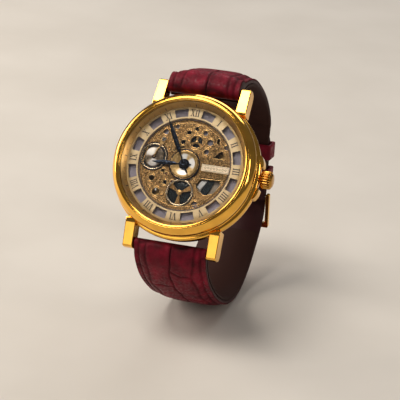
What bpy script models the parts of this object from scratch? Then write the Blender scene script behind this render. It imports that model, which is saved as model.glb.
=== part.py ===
"""Skeleton wristwatch with a hand-wound movement, buckled on its leather strap.

Everything is drawn in the watch's own frame in millimetres: X to 3 o'clock, Y to 12 o'clock,
Z out of the dial, with Z = 0 on the outer face of the case back. An empty leans that frame back
by DIAL_LEAN, as the watch stands on show, and every object is stored in metres.
"""

import math

import bmesh
import bpy
from mathutils import Matrix, Vector

MM = 0.001
DIAL_LEAN = 35.0  # degrees that the dial leans back from upright

# Case, from the back face up
CASE_BORE = 18.4
CASE_BACK_TOP = 1.35
CASE_FOOT = 1.4
CASE_TOP = 7.55
BEZEL_FOOT = 7.62
BEZEL_RADIUS = 21.3
CASE_RADIUS = 21.95
CRYSTAL_RADIUS = 18.95
CRYSTAL_FOOT = 9.25
CRYSTAL_TOP = 10.65
BACK_CRYSTAL_RADIUS = 12.0
ROUND_STEPS = 40
SMALL_STEPS = 16

# Dial
DIAL_FOOT = 7.2
DIAL_TOP = 7.6
DIAL_INNER = 13.95
DIAL_OUTER = 18.2
WINDOW_INNER = 14.35
WINDOW_OUTER = 16.7
WINDOW_HALF_ANGLE = 7.3
HOURS = 12

# Lugs and strap
LUG_INNER_X = 11.15
LUG_ROOT_X = 14.45
LUG_TIP_X = 14.15
BAR_Y = 23.4
BAR_Z = 2.6
STRAP_HALF_WIDTH = 11.0
STRAP_END_HALF_WIDTH = 9.0
LINING = 0.9
STRAP_GAP = 0.03

# Movement planes
PLATE_RADIUS = 14.0
PLATE = (4.65, 5.2)
FRONT_BRIDGE = (6.55, 7.05)
BARREL_BRIDGE = (2.55, 3.0)
WINDING_PLANE = (2.1, 2.4)
BARREL_TEETH = (4.15, 4.5)
ESCAPE_PLANE = (5.3, 5.45)
CENTRE_PLANE = (5.55, 5.75)
THIRD_PLANE = (5.85, 6.05)
FOURTH_PLANE = (6.17, 6.37)
BALANCE_PLANE = (5.95, 6.3)
MINUTE_PLANE = (7.12, 7.3)
HOUR_PLANE = (7.4, 7.58)
STEM_Z = 3.65

# Movement centres
CENTRE = Vector((0.0, 0.0))
BARREL = Vector((1.71, 6.79))
THIRD = Vector((3.4, -4.2))
FOURTH = Vector((0.2, -8.3))
BALANCE = Vector((-9.7, 1.2))
FRONT_PETALS = Vector((2.05, 7.25))

# Teeth: wheel, pinion
BARREL_TEETH_COUNT = (72, 12)
CENTRE_TEETH_COUNT = (64, 8)
THIRD_TEETH_COUNT = (60, 8)
FOURTH_TEETH_COUNT = (70, 7)
ESCAPE_TEETH_COUNT = 15
MINUTE_TEETH_COUNT = (12, 36)
HOUR_TEETH_COUNT = (10, 40)
RATCHET_TEETH_COUNT = (28, 42)
FOURTH_MODULE = 0.1055
MINUTE_MODULE = 0.088
RATCHET_MODULE = 0.25
TOOTH_TIP = 0.85  # modules from the pitch circle out to the tip
TOOTH_ROOT = 1.25  # modules from the pitch circle in to the root
TOOTH_ROOT_HALF = 0.28  # half a tooth's width at the root, as a share of the pitch
ESCAPE_RADIUS = 2.45
PALLET_DISTANCE = 3.0
BALANCE_RADIUS = 3.55

# Hands at 8:55
HOUR_ANGLE = 267.5
MINUTE_ANGLE = 330.0

GOLD = (0.83, 0.57, 0.17, 1)
PALE_GOLD = (0.80, 0.66, 0.38, 1)
BRASS = (0.62, 0.45, 0.20, 1)
STEEL = (0.62, 0.62, 0.63, 1)
BLUED = (0.02, 0.025, 0.04, 1)
GREY = (0.30, 0.28, 0.29, 1)
LEATHER = (0.16, 0.012, 0.025, 1)
DARK_LEATHER = (0.05, 0.012, 0.012, 1)
CLEAR = (0.9, 0.93, 0.95, 1)
RUBBER = (0.02, 0.02, 0.02, 1)

for old in list(bpy.data.objects):
    bpy.data.objects.remove(old, do_unlink=True)


# ---------- outlines, in millimetres ----------

def polar(radius, degrees, centre=(0, 0)):
    angle = math.radians(degrees)
    return (centre[0] + radius * math.cos(angle), centre[1] + radius * math.sin(angle))


def arc(radius, start, end, count, centre=(0, 0)):
    """Points from start to end degrees, both included."""
    step = (end - start) / (count - 1)
    return [polar(radius, start + step * i, centre) for i in range(count)]


def circle(radius, count=SMALL_STEPS, centre=(0, 0)):
    return [polar(radius, 360 * i / count, centre) for i in range(count)]


def sector(inner, outer, start, end, count=5, centre=(0, 0)):
    return arc(inner, start, end, count, centre) + arc(outer, end, start, count, centre)


def sectors(inner, outer, arms, arm_degrees, centre=(0, 0), first=90.0, count=5):
    """The openings between the arms of a spoked wheel."""
    pitch = 360 / arms
    spans = [(first + pitch * i + arm_degrees / 2, first + pitch * (i + 1) - arm_degrees / 2)
             for i in range(arms)]
    return [sector(inner, outer, start, end, count, centre) for start, end in spans]


def tapered_bar(a, a_radius, b, b_radius, count=9):
    """The outline round two discs and the bar between them."""
    a, b = Vector(a), Vector(b)
    along = b - a
    facing = math.degrees(math.atan2(along.y, along.x))
    lean = math.degrees(math.asin((a_radius - b_radius) / along.length))
    tangent = 90 - lean
    far = arc(b_radius, facing - tangent, facing + tangent, count, b)
    near = arc(a_radius, facing + tangent, facing + 360 - tangent, count, a)
    return far + near


def gear(teeth, module, phase, centre=(0, 0), flat=0.22, root=TOOTH_ROOT):
    """Tooth outline with the first tooth at phase degrees; flat is the tip's share of the pitch."""
    pitch = 360 / teeth
    tip_radius = module * (teeth + 2 * TOOTH_TIP) / 2
    root_radius = module * (teeth - 2 * root) / 2
    points = []
    for i in range(teeth):
        middle = phase + pitch * i
        points.append(polar(root_radius, middle - TOOTH_ROOT_HALF * pitch, centre))
        if flat:
            points.append(polar(tip_radius, middle - flat * pitch / 2, centre))
            points.append(polar(tip_radius, middle + flat * pitch / 2, centre))
            points.append(polar(root_radius, middle + TOOTH_ROOT_HALF * pitch, centre))
        else:
            points.append(polar(tip_radius, middle, centre))
    return points


def bearing(a, b):
    along = Vector(b) - Vector(a)
    return math.degrees(math.atan2(along.y, along.x))


def pinion_phase(teeth, towards):
    """The phase that puts a gap between teeth at the towards angle."""
    return towards + 180 / teeth


# ---------- solids, in millimetres ----------

def prism(outline, holes, low, high):
    bm = bmesh.new()
    edges = []
    for loop in [outline] + list(holes):
        verts = [bm.verts.new((x, y, low)) for x, y in loop]
        edges += [bm.edges.new((verts[i - 1], verts[i])) for i in range(len(verts))]
    bmesh.ops.triangle_fill(bm, use_beauty=True, edges=edges, normal=(0, 0, 1))
    raised = bmesh.ops.extrude_face_region(bm, geom=bm.faces[:])["geom"]
    lifted = [item for item in raised if isinstance(item, bmesh.types.BMVert)]
    bmesh.ops.translate(bm, verts=lifted, vec=(0, 0, high - low))
    return bm


def lathe(profile, steps=ROUND_STEPS, centre=(0, 0)):
    """Turns a closed outline of (radius, height) points about a vertical axis."""
    bm = bmesh.new()
    verts = [bm.verts.new((radius, 0, height)) for radius, height in profile]
    edges = [bm.edges.new((verts[i - 1], verts[i])) for i in range(len(verts))]
    on_axis = [edge for edge in edges if all(v.co.x == 0 for v in edge.verts)]
    spun = [edge for edge in edges if edge not in on_axis]
    bmesh.ops.spin(bm, geom=verts + spun, axis=(0, 0, 1), angle=math.tau, steps=steps, use_merge=True)
    bmesh.ops.delete(bm, geom=[e for e in bm.edges if not e.link_faces], context="EDGES")
    bmesh.ops.remove_doubles(bm, verts=bm.verts[:], dist=1e-5)
    bmesh.ops.translate(bm, verts=bm.verts[:], vec=(centre[0], centre[1], 0))
    return bm


def ring(inner, outer, low, high, steps=ROUND_STEPS, centre=(0, 0)):
    return lathe([(inner, low), (outer, low), (outer, high), (inner, high)], steps, centre)


def disc(radius, low, high, steps=SMALL_STEPS, centre=(0, 0)):
    return lathe([(0, low), (radius, low), (radius, high), (0, high)], steps, centre)


def along_x(bm, z):
    """Lays a solid turned about Z along the X axis, at the height z."""
    bm.transform(Matrix.Translation((0, 0, z)) @ Matrix.Rotation(math.radians(90), 4, "Y"))
    return bm


def face_outwards(bm):
    bmesh.ops.recalc_face_normals(bm, faces=bm.faces[:])
    if bm.calc_volume(signed=True) < 0:
        bmesh.ops.reverse_faces(bm, faces=bm.faces[:])


def mesh_from(bm):
    face_outwards(bm)
    mesh = bpy.data.meshes.new("solid")
    bm.to_mesh(mesh)
    bm.free()
    return mesh


def combine(base, others, operation):
    """Joins solids to the base, or cuts them from it, with exact Booleans."""
    main = bpy.data.objects.new("base", mesh_from(base))
    bpy.context.collection.objects.link(main)
    tools = []
    for other in others:
        tool = bpy.data.objects.new("tool", mesh_from(other))
        bpy.context.collection.objects.link(tool)
        step = main.modifiers.new("step", "BOOLEAN")
        step.operation = operation
        step.solver = "EXACT"
        step.object = tool
        tools.append(tool)
    bpy.context.view_layer.update()
    result = bmesh.new()
    result.from_object(main, bpy.context.evaluated_depsgraph_get())
    for done in [main] + tools:
        bpy.data.objects.remove(done, do_unlink=True)
    bmesh.ops.remove_doubles(result, verts=result.verts[:], dist=1e-4)
    return result


def join(base, *others):
    return combine(base, others, "UNION")


def cut(base, *others):
    return combine(base, others, "DIFFERENCE")


# ---------- objects ----------

display_tilt = bpy.data.objects.new("display_tilt", None)
bpy.context.collection.objects.link(display_tilt)
display_tilt.rotation_euler = (math.radians(90 - DIAL_LEAN), 0, 0)

materials = {}


def material(name, colour, metallic, roughness):
    if name not in materials:
        made = bpy.data.materials.new(name)
        made.use_nodes = True
        surface = made.node_tree.nodes["Principled BSDF"]
        surface.inputs["Base Color"].default_value = colour
        surface.inputs["Metallic"].default_value = metallic
        surface.inputs["Roughness"].default_value = roughness
        made.diffuse_color = colour
        materials[name] = made
    return materials[name]


def place(name, bm, look, centre=(0, 0, 0), smooth=True):
    """Stores a solid drawn in the watch frame as an object whose origin is at centre."""
    face_outwards(bm)
    bmesh.ops.translate(bm, verts=bm.verts[:], vec=[-c for c in centre])
    bm.transform(Matrix.Scale(MM, 4))
    mesh = bpy.data.meshes.new(name)
    bm.to_mesh(mesh)
    bm.free()
    mesh.materials.append(look.copy())
    mesh.materials[0].name = name + "_" + look.name
    obj = bpy.data.objects.new(name, mesh)
    bpy.context.collection.objects.link(obj)
    obj.parent = display_tilt
    obj.location = [MM * c for c in centre]
    if smooth:
        mesh.shade_smooth()
        mesh.set_sharp_from_angle(angle=math.radians(35))
    return obj


gold = material("polished_gold", GOLD, 1, 0.12)
pale_gold = material("champagne", PALE_GOLD, 0.7, 0.35)
brass = material("gilt_brass", BRASS, 1, 0.3)
steel = material("polished_steel", STEEL, 1, 0.2)
blued = material("dark_steel", BLUED, 0.8, 0.25)
grey = material("grey_plastic", GREY, 0, 0.5)
leather = material("burgundy_leather", LEATHER, 0, 0.3)
dark_leather = material("lining_leather", DARK_LEATHER, 0, 0.6)
clear = material("mineral_glass", CLEAR, 0, 0.03)
rubber = material("seal_rubber", RUBBER, 0, 0.6)


# ---------- case ----------

def lug(side, end):
    """One straight lug; its top falls towards the tip and it narrows outwards."""
    profile = [(13.2, 6.35), (18.5, 6.3), (22.0, 5.75), (25.0, 4.75), (25.5, 4.3), (25.7, 2.2),
               (25.1, 1.1), (24.0, 0.7), (20.0, 1.5), (13.2, 1.9)]
    taper = (LUG_ROOT_X - LUG_TIP_X) / (profile[5][0] - profile[0][0])
    bm = bmesh.new()
    inner = [bm.verts.new((side * LUG_INNER_X, end * y, z)) for y, z in profile]
    outer = [bm.verts.new((side * (LUG_ROOT_X - taper * (y - profile[0][0])), end * y, z))
             for y, z in profile]
    bm.faces.new(inner)
    bm.faces.new(outer)
    for i in range(len(profile)):
        bm.faces.new((inner[i - 1], inner[i], outer[i], outer[i - 1]))
    return bm


def crown_shoulder(end):
    outline = [(19.3, 3.0), (22.3, 3.0), (22.6, 3.5), (22.35, 5.0), (21.4, 6.6), (19.3, 6.6)]
    return prism([(x, end * y) for x, y in outline], [], 2.6, 5.5)


def build_case_body():
    outside = [(0, CASE_FOOT), (20.1, CASE_FOOT), (21.2, 1.95), (21.7, 2.75), (21.7, 3.95), (21.2, 4.3),
               (CASE_RADIUS, 4.75), (CASE_RADIUS, 5.4), (21.3, 5.8), (20.8, 6.0), (21.2, 6.3), (21.2, 6.8),
               (20.5, 7.15), (20.5, CASE_TOP), (0, CASE_TOP)]
    lugs = [lug(side, end) for side in (-1, 1) for end in (-1, 1)]
    shoulders = [crown_shoulder(end) for end in (-1, 1)]
    body = join(lathe(outside), *lugs, *shoulders)
    bore = disc(CASE_BORE, CASE_FOOT - 1, CASE_TOP + 1, ROUND_STEPS)
    tube_bore = along_x(disc(1.2, 16, 24), STEM_Z)
    bar_bores = []
    for end in (-1, 1):
        hole = along_x(disc(0.45, -12.3, 12.3, 8), BAR_Z)
        hole.transform(Matrix.Translation((0, end * BAR_Y, 0)))
        bar_bores.append(hole)
    place("case_body", cut(body, bore, tube_bore, *bar_bores), gold)


def build_case_covers():
    bezel = [(18.78, BEZEL_FOOT), (20.7, BEZEL_FOOT), (21.15, 7.9), (BEZEL_RADIUS, 8.45), (21.15, 9.2),
             (20.75, 9.9), (20.2, 10.55), (19.75, 10.95), (19.45, 10.95), (19.33, 10.7), (19.33, 9.22),
             (18.78, 9.22)]
    place("bezel", lathe(bezel), gold)
    rim = CRYSTAL_RADIUS - 0.25
    crystal = [(0, CRYSTAL_FOOT), (CRYSTAL_RADIUS, CRYSTAL_FOOT), (CRYSTAL_RADIUS, CRYSTAL_TOP - 0.25),
               (rim, CRYSTAL_TOP), (0, CRYSTAL_TOP)]
    place("crystal", lathe(crystal), clear)
    place("crystal_gasket", ring(19.0, 19.28, CRYSTAL_FOOT, 10.45), clear)
    flange = [(17.25, 7.65), (18.7, 7.65), (18.7, 9.15), (18.5, 9.15)]
    place("rehaut_ring", lathe(flange), brass)
    back = [(12.45, 0.3), (19.3, 0.3), (19.9, 0.7), (19.9, CASE_BACK_TOP), (18.33, CASE_BACK_TOP),
            (18.33, 2.95), (17.6, 2.95), (17.6, CASE_BACK_TOP), (11.6, CASE_BACK_TOP), (11.6, 0.98),
            (12.45, 0.98)]
    place("case_back", lathe(back, 36), steel)
    place("back_crystal", disc(BACK_CRYSTAL_RADIUS, 0, 0.92, 36), clear)
    place("back_gasket", ring(12.08, 12.38, 0.4, 0.92, 36), rubber)


def build_dial():
    windows = []
    for hour in range(HOURS):
        middle = 75 - 30 * hour
        windows.append(sector(WINDOW_INNER, WINDOW_OUTER, middle - WINDOW_HALF_ANGLE,
                              middle + WINDOW_HALF_ANGLE, 3))
    hole = circle(DIAL_INNER, 48)
    place("dial_ring", prism(circle(DIAL_OUTER, 48), [hole] + windows, DIAL_FOOT, DIAL_TOP), pale_gold)
    holder = [(14.2, 3.0), (18.3, 3.0), (18.3, 7.15), (17.0, 7.15), (17.0, 6.5), (14.2, 6.5)]
    slot = prism([(13, -1.4), (19, -1.4), (19, 1.4), (13, 1.4)], [], 2.5, 5.1)
    place("movement_holder", cut(lathe(holder, 36), slot), grey)
    place("centre_ring", ring(4.05, 4.45, 7.08, 7.5, 32), blued)
    plate = [(5.3, -0.95), (13.5, -0.95), (13.5, 0.95), (5.3, 0.95)]
    place("name_plate", prism(plate, [], 7.08, 7.35), pale_gold)


# ---------- movement frame ----------

def along_line(a, b, distance):
    return a + (b - a).normalized() * distance


ESCAPE = along_line(FOURTH, BALANCE, FOURTH_MODULE * sum(FOURTH_TEETH_COUNT) / 2)
PALLET = along_line(ESCAPE, BALANCE, PALLET_DISTANCE)
PALLET_AIM = bearing(PALLET, BALANCE)
PALLET_FOOT = Vector(polar(2.2, PALLET_AIM - 90 - 180, PALLET))
BARREL_MODULE = 2 * (BARREL - CENTRE).length / sum(BARREL_TEETH_COUNT)
CENTRE_MODULE = 2 * (THIRD - CENTRE).length / sum(CENTRE_TEETH_COUNT)
THIRD_MODULE = 2 * (FOURTH - THIRD).length / sum(THIRD_TEETH_COUNT)
MINUTE = Vector(polar(MINUTE_MODULE * sum(MINUTE_TEETH_COUNT) / 2, 45))
HOUR_MODULE = 2 * MINUTE.length / sum(HOUR_TEETH_COUNT)
RATCHET_DISTANCE = RATCHET_MODULE * sum(RATCHET_TEETH_COUNT) / 2
CROWN_WHEEL = Vector((BARREL.x + math.sqrt(RATCHET_DISTANCE ** 2 - BARREL.y ** 2), 0.0))
PILLARS = [Vector((10.9, 5.8)), Vector((-6.6, 10.6)), Vector((-12.2, 0.9))]
CLICK = Vector(polar(6.9, 165, BARREL))
COCK_FOOT = Vector((-7.7, 6.6))


def build_main_plate():
    notch = [(9.4, -1.5), (9.4, 1.5)]
    outline = arc(PLATE_RADIUS, 6.15, 353.85, 40) + notch
    pivots = [(CENTRE, 0.45), (THIRD, 0.2), (FOURTH, 0.2), (ESCAPE, 0.2), (PALLET, 0.2),
              (BALANCE, 0.2), (BARREL, 0.5)]
    windows = [((8.9, -6.6), 2.1), ((-8.9, -8.1), 1.5), ((-8.2, 6.1), 1.7), ((6.2, 1.4), 1.1),
               ((-4.3, 3.4), 1.6), ((-0.3, -12.3), 1.0), ((4.3, -9.9), 1.5), ((-4.2, -0.6), 1.1)]
    holes = [circle(radius, 8, centre) for centre, radius in pivots]
    holes += [circle(radius, 14, centre) for centre, radius in windows]
    holes += sectors(2.2, 4.9, 3, 34, BARREL, 90)
    place("main_plate", prism(outline, holes, *PLATE), brass)


def build_front_bridge():
    """The pierced front plate that carries the train's upper pivots."""
    holes = [circle(radius, 8, centre) for centre, radius in
             ((CENTRE, 0.58), (THIRD, 0.2), (ESCAPE, 0.2), (PALLET, 0.22), (FOURTH, 0.2))]
    holes.append(circle(3.85, 32, BALANCE))
    holes += sectors(0.75, 3.55, 3, 26, FOURTH, 30, 7)
    holes += sectors(0.5, 1.75, 3, 30, FRONT_PETALS, 90, 4)
    rounds = [((-0.7, 9.7), 0.66), ((-1.9, 6.7), 0.66), ((1.4, 11.1), 0.62), ((4.2, 10.1), 0.7),
              ((5.6, 4.7), 0.7), ((-4.6, 11.0), 0.7), ((-7.6, 9.0), 0.8), ((6.1, 7.5), 0.9),
              ((11.1, 6.6), 0.65), ((-4.6, 7.6), 0.7), ((-8.9, -5.2), 0.8), ((-6.8, -9.0), 1.1),
              ((-4.7, -5.9), 0.6), ((5.4, -11.2), 0.9), ((-6.1, -2.6), 0.5)]
    holes += [circle(radius, 8, centre) for centre, radius in rounds]
    holes.append([(7.6, 3.0), (11.7, 3.0), (10.2, 5.9)])
    holes.append([(4.3, -5.4), (5.5, -3.3), (12.3, -3.1), (11.7, -5.2), (9.9, -7.4), (7.6, -8.2),
                  (5.6, -7.2)])
    holes.append([(7.9, 7.4), (8.9, 7.2), (9.1, 9.1), (8.1, 9.3)])
    holes.append(sector(5.0, 6.1, 100, 140, 5))
    holes.append(sector(2.7, 3.7, 195, 255, 5))
    plate = prism(circle(13.8, 48), holes, *FRONT_BRIDGE)
    place("front_bridge", join(plate, disc(0.2, 6.8, 7.68, 8, MINUTE)), brass)


def build_rear_bridge():
    outline = arc(13.7, 8, 188, 26) + [(-13.0, -1.9), (8.9, -1.9), (8.9, 1.9)]
    windows = [((-9.6, 4.9), 1.6), ((-7.6, 2.0), 1.3), ((-4.0, 0.9), 1.3), ((-2.9, 12.0), 1.1)]
    holes = [circle(0.62, 12, BARREL), circle(0.2, 8, CENTRE), circle(0.28, 8, CLICK)]
    holes += [circle(radius, 12, centre) for centre, radius in windows]
    plate = prism(outline, holes, *BARREL_BRIDGE)
    feet = [disc(1.0, 2.8, 4.62, 12, pillar) for pillar in PILLARS]
    boss = disc(0.72, 2.08, 2.8, 12, CROWN_WHEEL)
    place("barrel_bridge", join(plate, boss, *feet), brass)
    for number, pillar in enumerate(PILLARS, 1):
        place(f"bridge_screw_{number}", disc(0.72, 2.25, 2.53, 12, pillar), steel)
    place("crown_wheel_screw", disc(1.25, 1.8, 2.05, 16, CROWN_WHEEL), steel)


def build_cocks():
    foot_hole = circle(0.35, 8, COCK_FOOT)
    arm = tapered_bar(COCK_FOOT, 1.25, BALANCE, 0.75)
    place("balance_cock", prism(arm, [circle(0.2, 8, BALANCE), foot_hole], 7.08, 7.4), pale_gold)
    place("cock_screw", disc(0.6, 7.43, 7.58, 12, COCK_FOOT), steel)
    arm = tapered_bar(PALLET_FOOT, 0.75, PALLET, 0.5, 6)
    bar = prism(arm, [circle(0.2, 8, PALLET)], 5.62, 5.8)
    place("pallet_cock", join(bar, disc(0.6, 5.23, 5.7, 10, PALLET_FOOT)), brass)


# ---------- going train ----------

def arbor(centre, steps, sides=8):
    """A turned arbor from (radius, low, high) steps, lowest first."""
    profile = [(0, steps[0][1])]
    for radius, low, high in steps:
        profile += [(radius, low), (radius, high)]
    profile.append((0, steps[-1][2]))
    return lathe(profile, sides, centre)


def spoked(teeth, module, phase, centre, plane, arms):
    """A wheel with sharp teeth and open spokes."""
    root = module * (teeth - 2.5) / 2
    openings = sectors(0.22 * root, 0.86 * root, arms, 24, centre, 90, 4)
    return prism(gear(teeth, module, phase, centre, flat=0), openings, *plane)


def pinion(teeth, module, towards, centre, plane):
    phase = pinion_phase(teeth, towards)
    return prism(gear(teeth, module, phase, centre), [], *plane)


def build_barrel():
    teeth, _ = BARREL_TEETH_COUNT
    phase = bearing(BARREL, CENTRE)
    flange = prism(gear(teeth, BARREL_MODULE, phase, BARREL, flat=0), [circle(5.4, 32, BARREL)],
                   *BARREL_TEETH)
    drum = [(0.7, 3.15), (5.65, 3.15), (5.65, 4.4), (5.35, 4.4), (5.35, 3.35), (0.7, 3.35)]
    place("barrel", join(flange, lathe(drum, 32, BARREL)), brass, (*BARREL, 0))
    place("barrel_cover", ring(0.75, 5.3, 4.32, 4.48, 32, BARREL), brass, (*BARREL, 0))
    place("mainspring", spiral(BARREL, 1.4, 5.1, 4, 0.12, (3.45, 4.2), 14), steel, (*BARREL, 0))
    core = [(0.55, 2.02, 3.38), (1.1, 3.42, 4.26), (0.55, 4.3, 4.6), (0.4, 4.6, 5.1)]
    place("barrel_arbor", arbor(BARREL, core, 12), steel, (*BARREL, 0))


def spiral(centre, inner, outer, turns, width, plane, per_turn):
    """A flat coiled strip."""
    count = turns * per_turn
    sides = []
    for offset in (-width / 2, width / 2):
        sides.append([polar(inner + (outer - inner) * i / count + offset, 360 * i / per_turn, centre)
                      for i in range(count + 1)])
    bm = bmesh.new()
    rows = [[bm.verts.new((x, y, z)) for x, y in side] for side in sides for z in plane]
    loop = [rows[0], rows[1], rows[3], rows[2]]
    for i in range(count):
        for k in range(4):
            a, b = loop[k - 1], loop[k]
            bm.faces.new((a[i], a[i + 1], b[i + 1], b[i]))
    bm.faces.new([row[0] for row in loop])
    bm.faces.new([row[count] for row in loop])
    return bm


def build_centre_wheel():
    wheel_teeth, _ = CENTRE_TEETH_COUNT
    _, pinion_teeth = BARREL_TEETH_COUNT
    wheel = spoked(wheel_teeth, CENTRE_MODULE, bearing(CENTRE, THIRD), CENTRE, CENTRE_PLANE, 4)
    leaves = pinion(pinion_teeth, BARREL_MODULE, bearing(CENTRE, BARREL), CENTRE, BARREL_TEETH)
    axle = arbor(CENTRE, [(0.15, 2.6, 3.03), (0.36, 3.03, 6.4), (0.28, 6.4, 8.3)])
    place("centre_wheel", join(wheel, leaves, axle), brass)


def build_third_wheel():
    wheel_teeth, _ = THIRD_TEETH_COUNT
    _, pinion_teeth = CENTRE_TEETH_COUNT
    wheel = spoked(wheel_teeth, THIRD_MODULE, bearing(THIRD, FOURTH), THIRD, THIRD_PLANE, 4)
    leaves = pinion(pinion_teeth, CENTRE_MODULE, bearing(THIRD, CENTRE), THIRD, (5.5, 5.95))
    axle = arbor(THIRD, [(0.13, 4.7, 5.23), (0.3, 5.23, 6.52), (0.13, 6.52, 7.0)])
    place("third_wheel", join(wheel, leaves, axle), brass, (*THIRD, 0))


def build_fourth_wheel():
    wheel_teeth, _ = FOURTH_TEETH_COUNT
    _, pinion_teeth = THIRD_TEETH_COUNT
    wheel = spoked(wheel_teeth, FOURTH_MODULE, bearing(FOURTH, ESCAPE), FOURTH, FOURTH_PLANE, 3)
    leaves = pinion(pinion_teeth, THIRD_MODULE, bearing(FOURTH, THIRD), FOURTH, (5.8, 6.25))
    axle = arbor(FOURTH, [(0.13, 4.7, 5.23), (0.3, 5.23, 6.52), (0.13, 6.52, 7.0)])
    place("fourth_wheel", join(wheel, leaves, axle), steel, (*FOURTH, 0))


def build_escapement():
    _, pinion_teeth = FOURTH_TEETH_COUNT
    saw = []
    for i in range(ESCAPE_TEETH_COUNT):
        middle = 360 * i / ESCAPE_TEETH_COUNT
        saw.append(polar(ESCAPE_RADIUS, middle, ESCAPE))
        saw.append(polar(ESCAPE_RADIUS, middle + 2.5, ESCAPE))
        saw.append(polar(0.8 * ESCAPE_RADIUS, middle + 8, ESCAPE))
    openings = sectors(0.5, 1.6, 4, 26, ESCAPE, 0, 4)
    leaves = pinion(pinion_teeth, FOURTH_MODULE, bearing(ESCAPE, FOURTH), ESCAPE, (6.1, 6.45))
    axle = arbor(ESCAPE, [(0.13, 4.7, 5.23), (0.24, 5.23, 6.52), (0.13, 6.52, 7.0)])
    wheel = prism(saw, openings, *ESCAPE_PLANE)
    place("escape_wheel", join(wheel, leaves, axle), steel, (*ESCAPE, 0))


def build_pallet_fork():
    """The anchor and its lever, drawn with the lever along +X and then aimed at the balance."""
    reach = (BALANCE - PALLET).length - 1.2
    upper = [(-0.4, 0.3), (-0.15, 1.2), (-0.62, 1.28), (-0.62, 1.62), (0.15, 1.55), (0.35, 0.9),
             (0.35, 0.16), (reach - 0.9, 0.13), (reach - 0.5, 0.45), (reach, 0.45), (reach, 0.25),
             (reach - 0.3, 0.2)]
    outline = upper + [(x, -y) for x, y in reversed(upper)]
    anchor = prism(outline, [], *ESCAPE_PLANE)
    anchor.transform(Matrix.Translation((*PALLET, 0)) @ Matrix.Rotation(math.radians(PALLET_AIM), 4, "Z"))
    staff = arbor(PALLET, [(0.13, 4.7, 5.23), (0.22, 5.23, 5.58), (0.13, 5.58, 6.9)], 8)
    place("pallet_fork", join(anchor, staff), steel, (*PALLET, 0))


def build_balance():
    rim = prism(circle(BALANCE_RADIUS, 32, BALANCE), sectors(0.6, 3.1, 3, 16, BALANCE, 90, 8),
                *BALANCE_PLANE)
    staff = arbor(BALANCE, [(0.13, 4.7, 5.23), (0.22, 5.23, 5.58), (1.0, 5.58, 5.74),
                            (0.22, 5.74, 7.06), (0.13, 7.06, 7.35)], 12)
    pin_at = polar(0.75, PALLET_AIM + 180, BALANCE)
    pin = disc(0.12, 5.3, 5.65, 8, pin_at)
    place("balance_wheel", join(rim, staff, pin), brass, (*BALANCE, 0))
    place("hairspring", spiral(BALANCE, 0.6, 2.0, 4, 0.06, (6.55, 6.72), 12), blued, (*BALANCE, 0))


# ---------- hands and motion work ----------

def clockwise(angle):
    """The direction in degrees of a clock angle counted from 12."""
    return 90 - angle


def build_motion_work():
    cannon_teeth, minute_teeth = MINUTE_TEETH_COUNT
    leaf_teeth, hour_teeth = HOUR_TEETH_COUNT
    aim = bearing(CENTRE, MINUTE)
    bore = circle(0.32, 12)
    cannon = prism(gear(cannon_teeth, MINUTE_MODULE, aim), [bore], *MINUTE_PLANE)
    sleeve = ring(0.32, 0.48, 7.1, 8.5, 12)
    place("cannon_pinion", join(cannon, sleeve), steel)
    phase = pinion_phase(minute_teeth, aim + 180)
    stud = circle(0.24, 8, MINUTE)
    wheel = prism(gear(minute_teeth, MINUTE_MODULE, phase, MINUTE, flat=0), [stud], *MINUTE_PLANE)
    leaves = prism(gear(leaf_teeth, HOUR_MODULE, aim + 180, MINUTE), [stud], 7.2, 7.62)
    place("minute_wheel", join(wheel, leaves), brass, (*MINUTE, 0))
    phase = pinion_phase(hour_teeth, aim)
    pipe_bore = circle(0.54, 16)
    wheel = prism(gear(hour_teeth, HOUR_MODULE, phase, flat=0), [pipe_bore], *HOUR_PLANE)
    place("hour_wheel", join(wheel, ring(0.54, 0.72, 7.38, 8.05, 16)), pale_gold)


def hand(length, width, tail, hub, bore, angle, plane):
    """A leaf hand with a short tail, pointing along its clock angle."""
    side = [(hub * 0.9, 0.22), (0.3 * length, 0.2), (0.52 * length, width / 2), (0.72 * length, 0.34)]
    flank = side + [(length, 0.03)]
    outline = [(x, -y) for x, y in flank] + [(x, y) for x, y in reversed(flank)]
    outline += arc(hub, 25, 155, 6) + [(-tail, 0.2), (-tail, -0.2)] + arc(hub, 205, 335, 6)
    blade = prism(outline, [circle(bore, 16)], *plane)
    blade.transform(Matrix.Rotation(math.radians(clockwise(angle)), 4, "Z"))
    return blade


def build_hands():
    place("hour_hand", hand(9.7, 1.5, 2.2, 1.2, 0.75, HOUR_ANGLE, (7.85, 8.02)), blued)
    place("minute_hand", hand(14.4, 1.4, 3.0, 1.0, 0.51, MINUTE_ANGLE, (8.3, 8.45)), blued)


# ---------- winding ----------

def build_winding():
    crown_teeth, ratchet_teeth = RATCHET_TEETH_COUNT
    aim = bearing(CROWN_WHEEL, BARREL)
    wheel = prism(gear(crown_teeth, RATCHET_MODULE, aim, CROWN_WHEEL, flat=0),
                  [circle(0.78, 12, CROWN_WHEEL)], *WINDING_PLANE)
    place("crown_wheel", wheel, steel, (*CROWN_WHEEL, 0))
    phase = pinion_phase(ratchet_teeth, aim + 180)
    wheel = prism(gear(ratchet_teeth, RATCHET_MODULE, phase, BARREL, flat=0),
                  [circle(0.6, 12, BARREL)], *WINDING_PLANE)
    place("ratchet_wheel", wheel, steel, (*BARREL, 0))
    place("ratchet_screw", disc(1.5, 1.75, 1.98, 16, BARREL), steel, (*BARREL, 0))
    nose = Vector(polar(5.65, 150, BARREL))
    pawl = prism(tapered_bar(CLICK, 0.6, nose, 0.12, 6), [], *WINDING_PLANE)
    place("click", join(pawl, disc(0.22, 2.2, 2.95, 8, CLICK)), steel, (*CLICK, 0))
    spring = tapered_bar(polar(7.9, 150, BARREL), 0.4, polar(6.3, 147, BARREL), 0.1, 5)
    place("click_spring", prism(spring, [], *WINDING_PLANE), steel)


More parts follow.
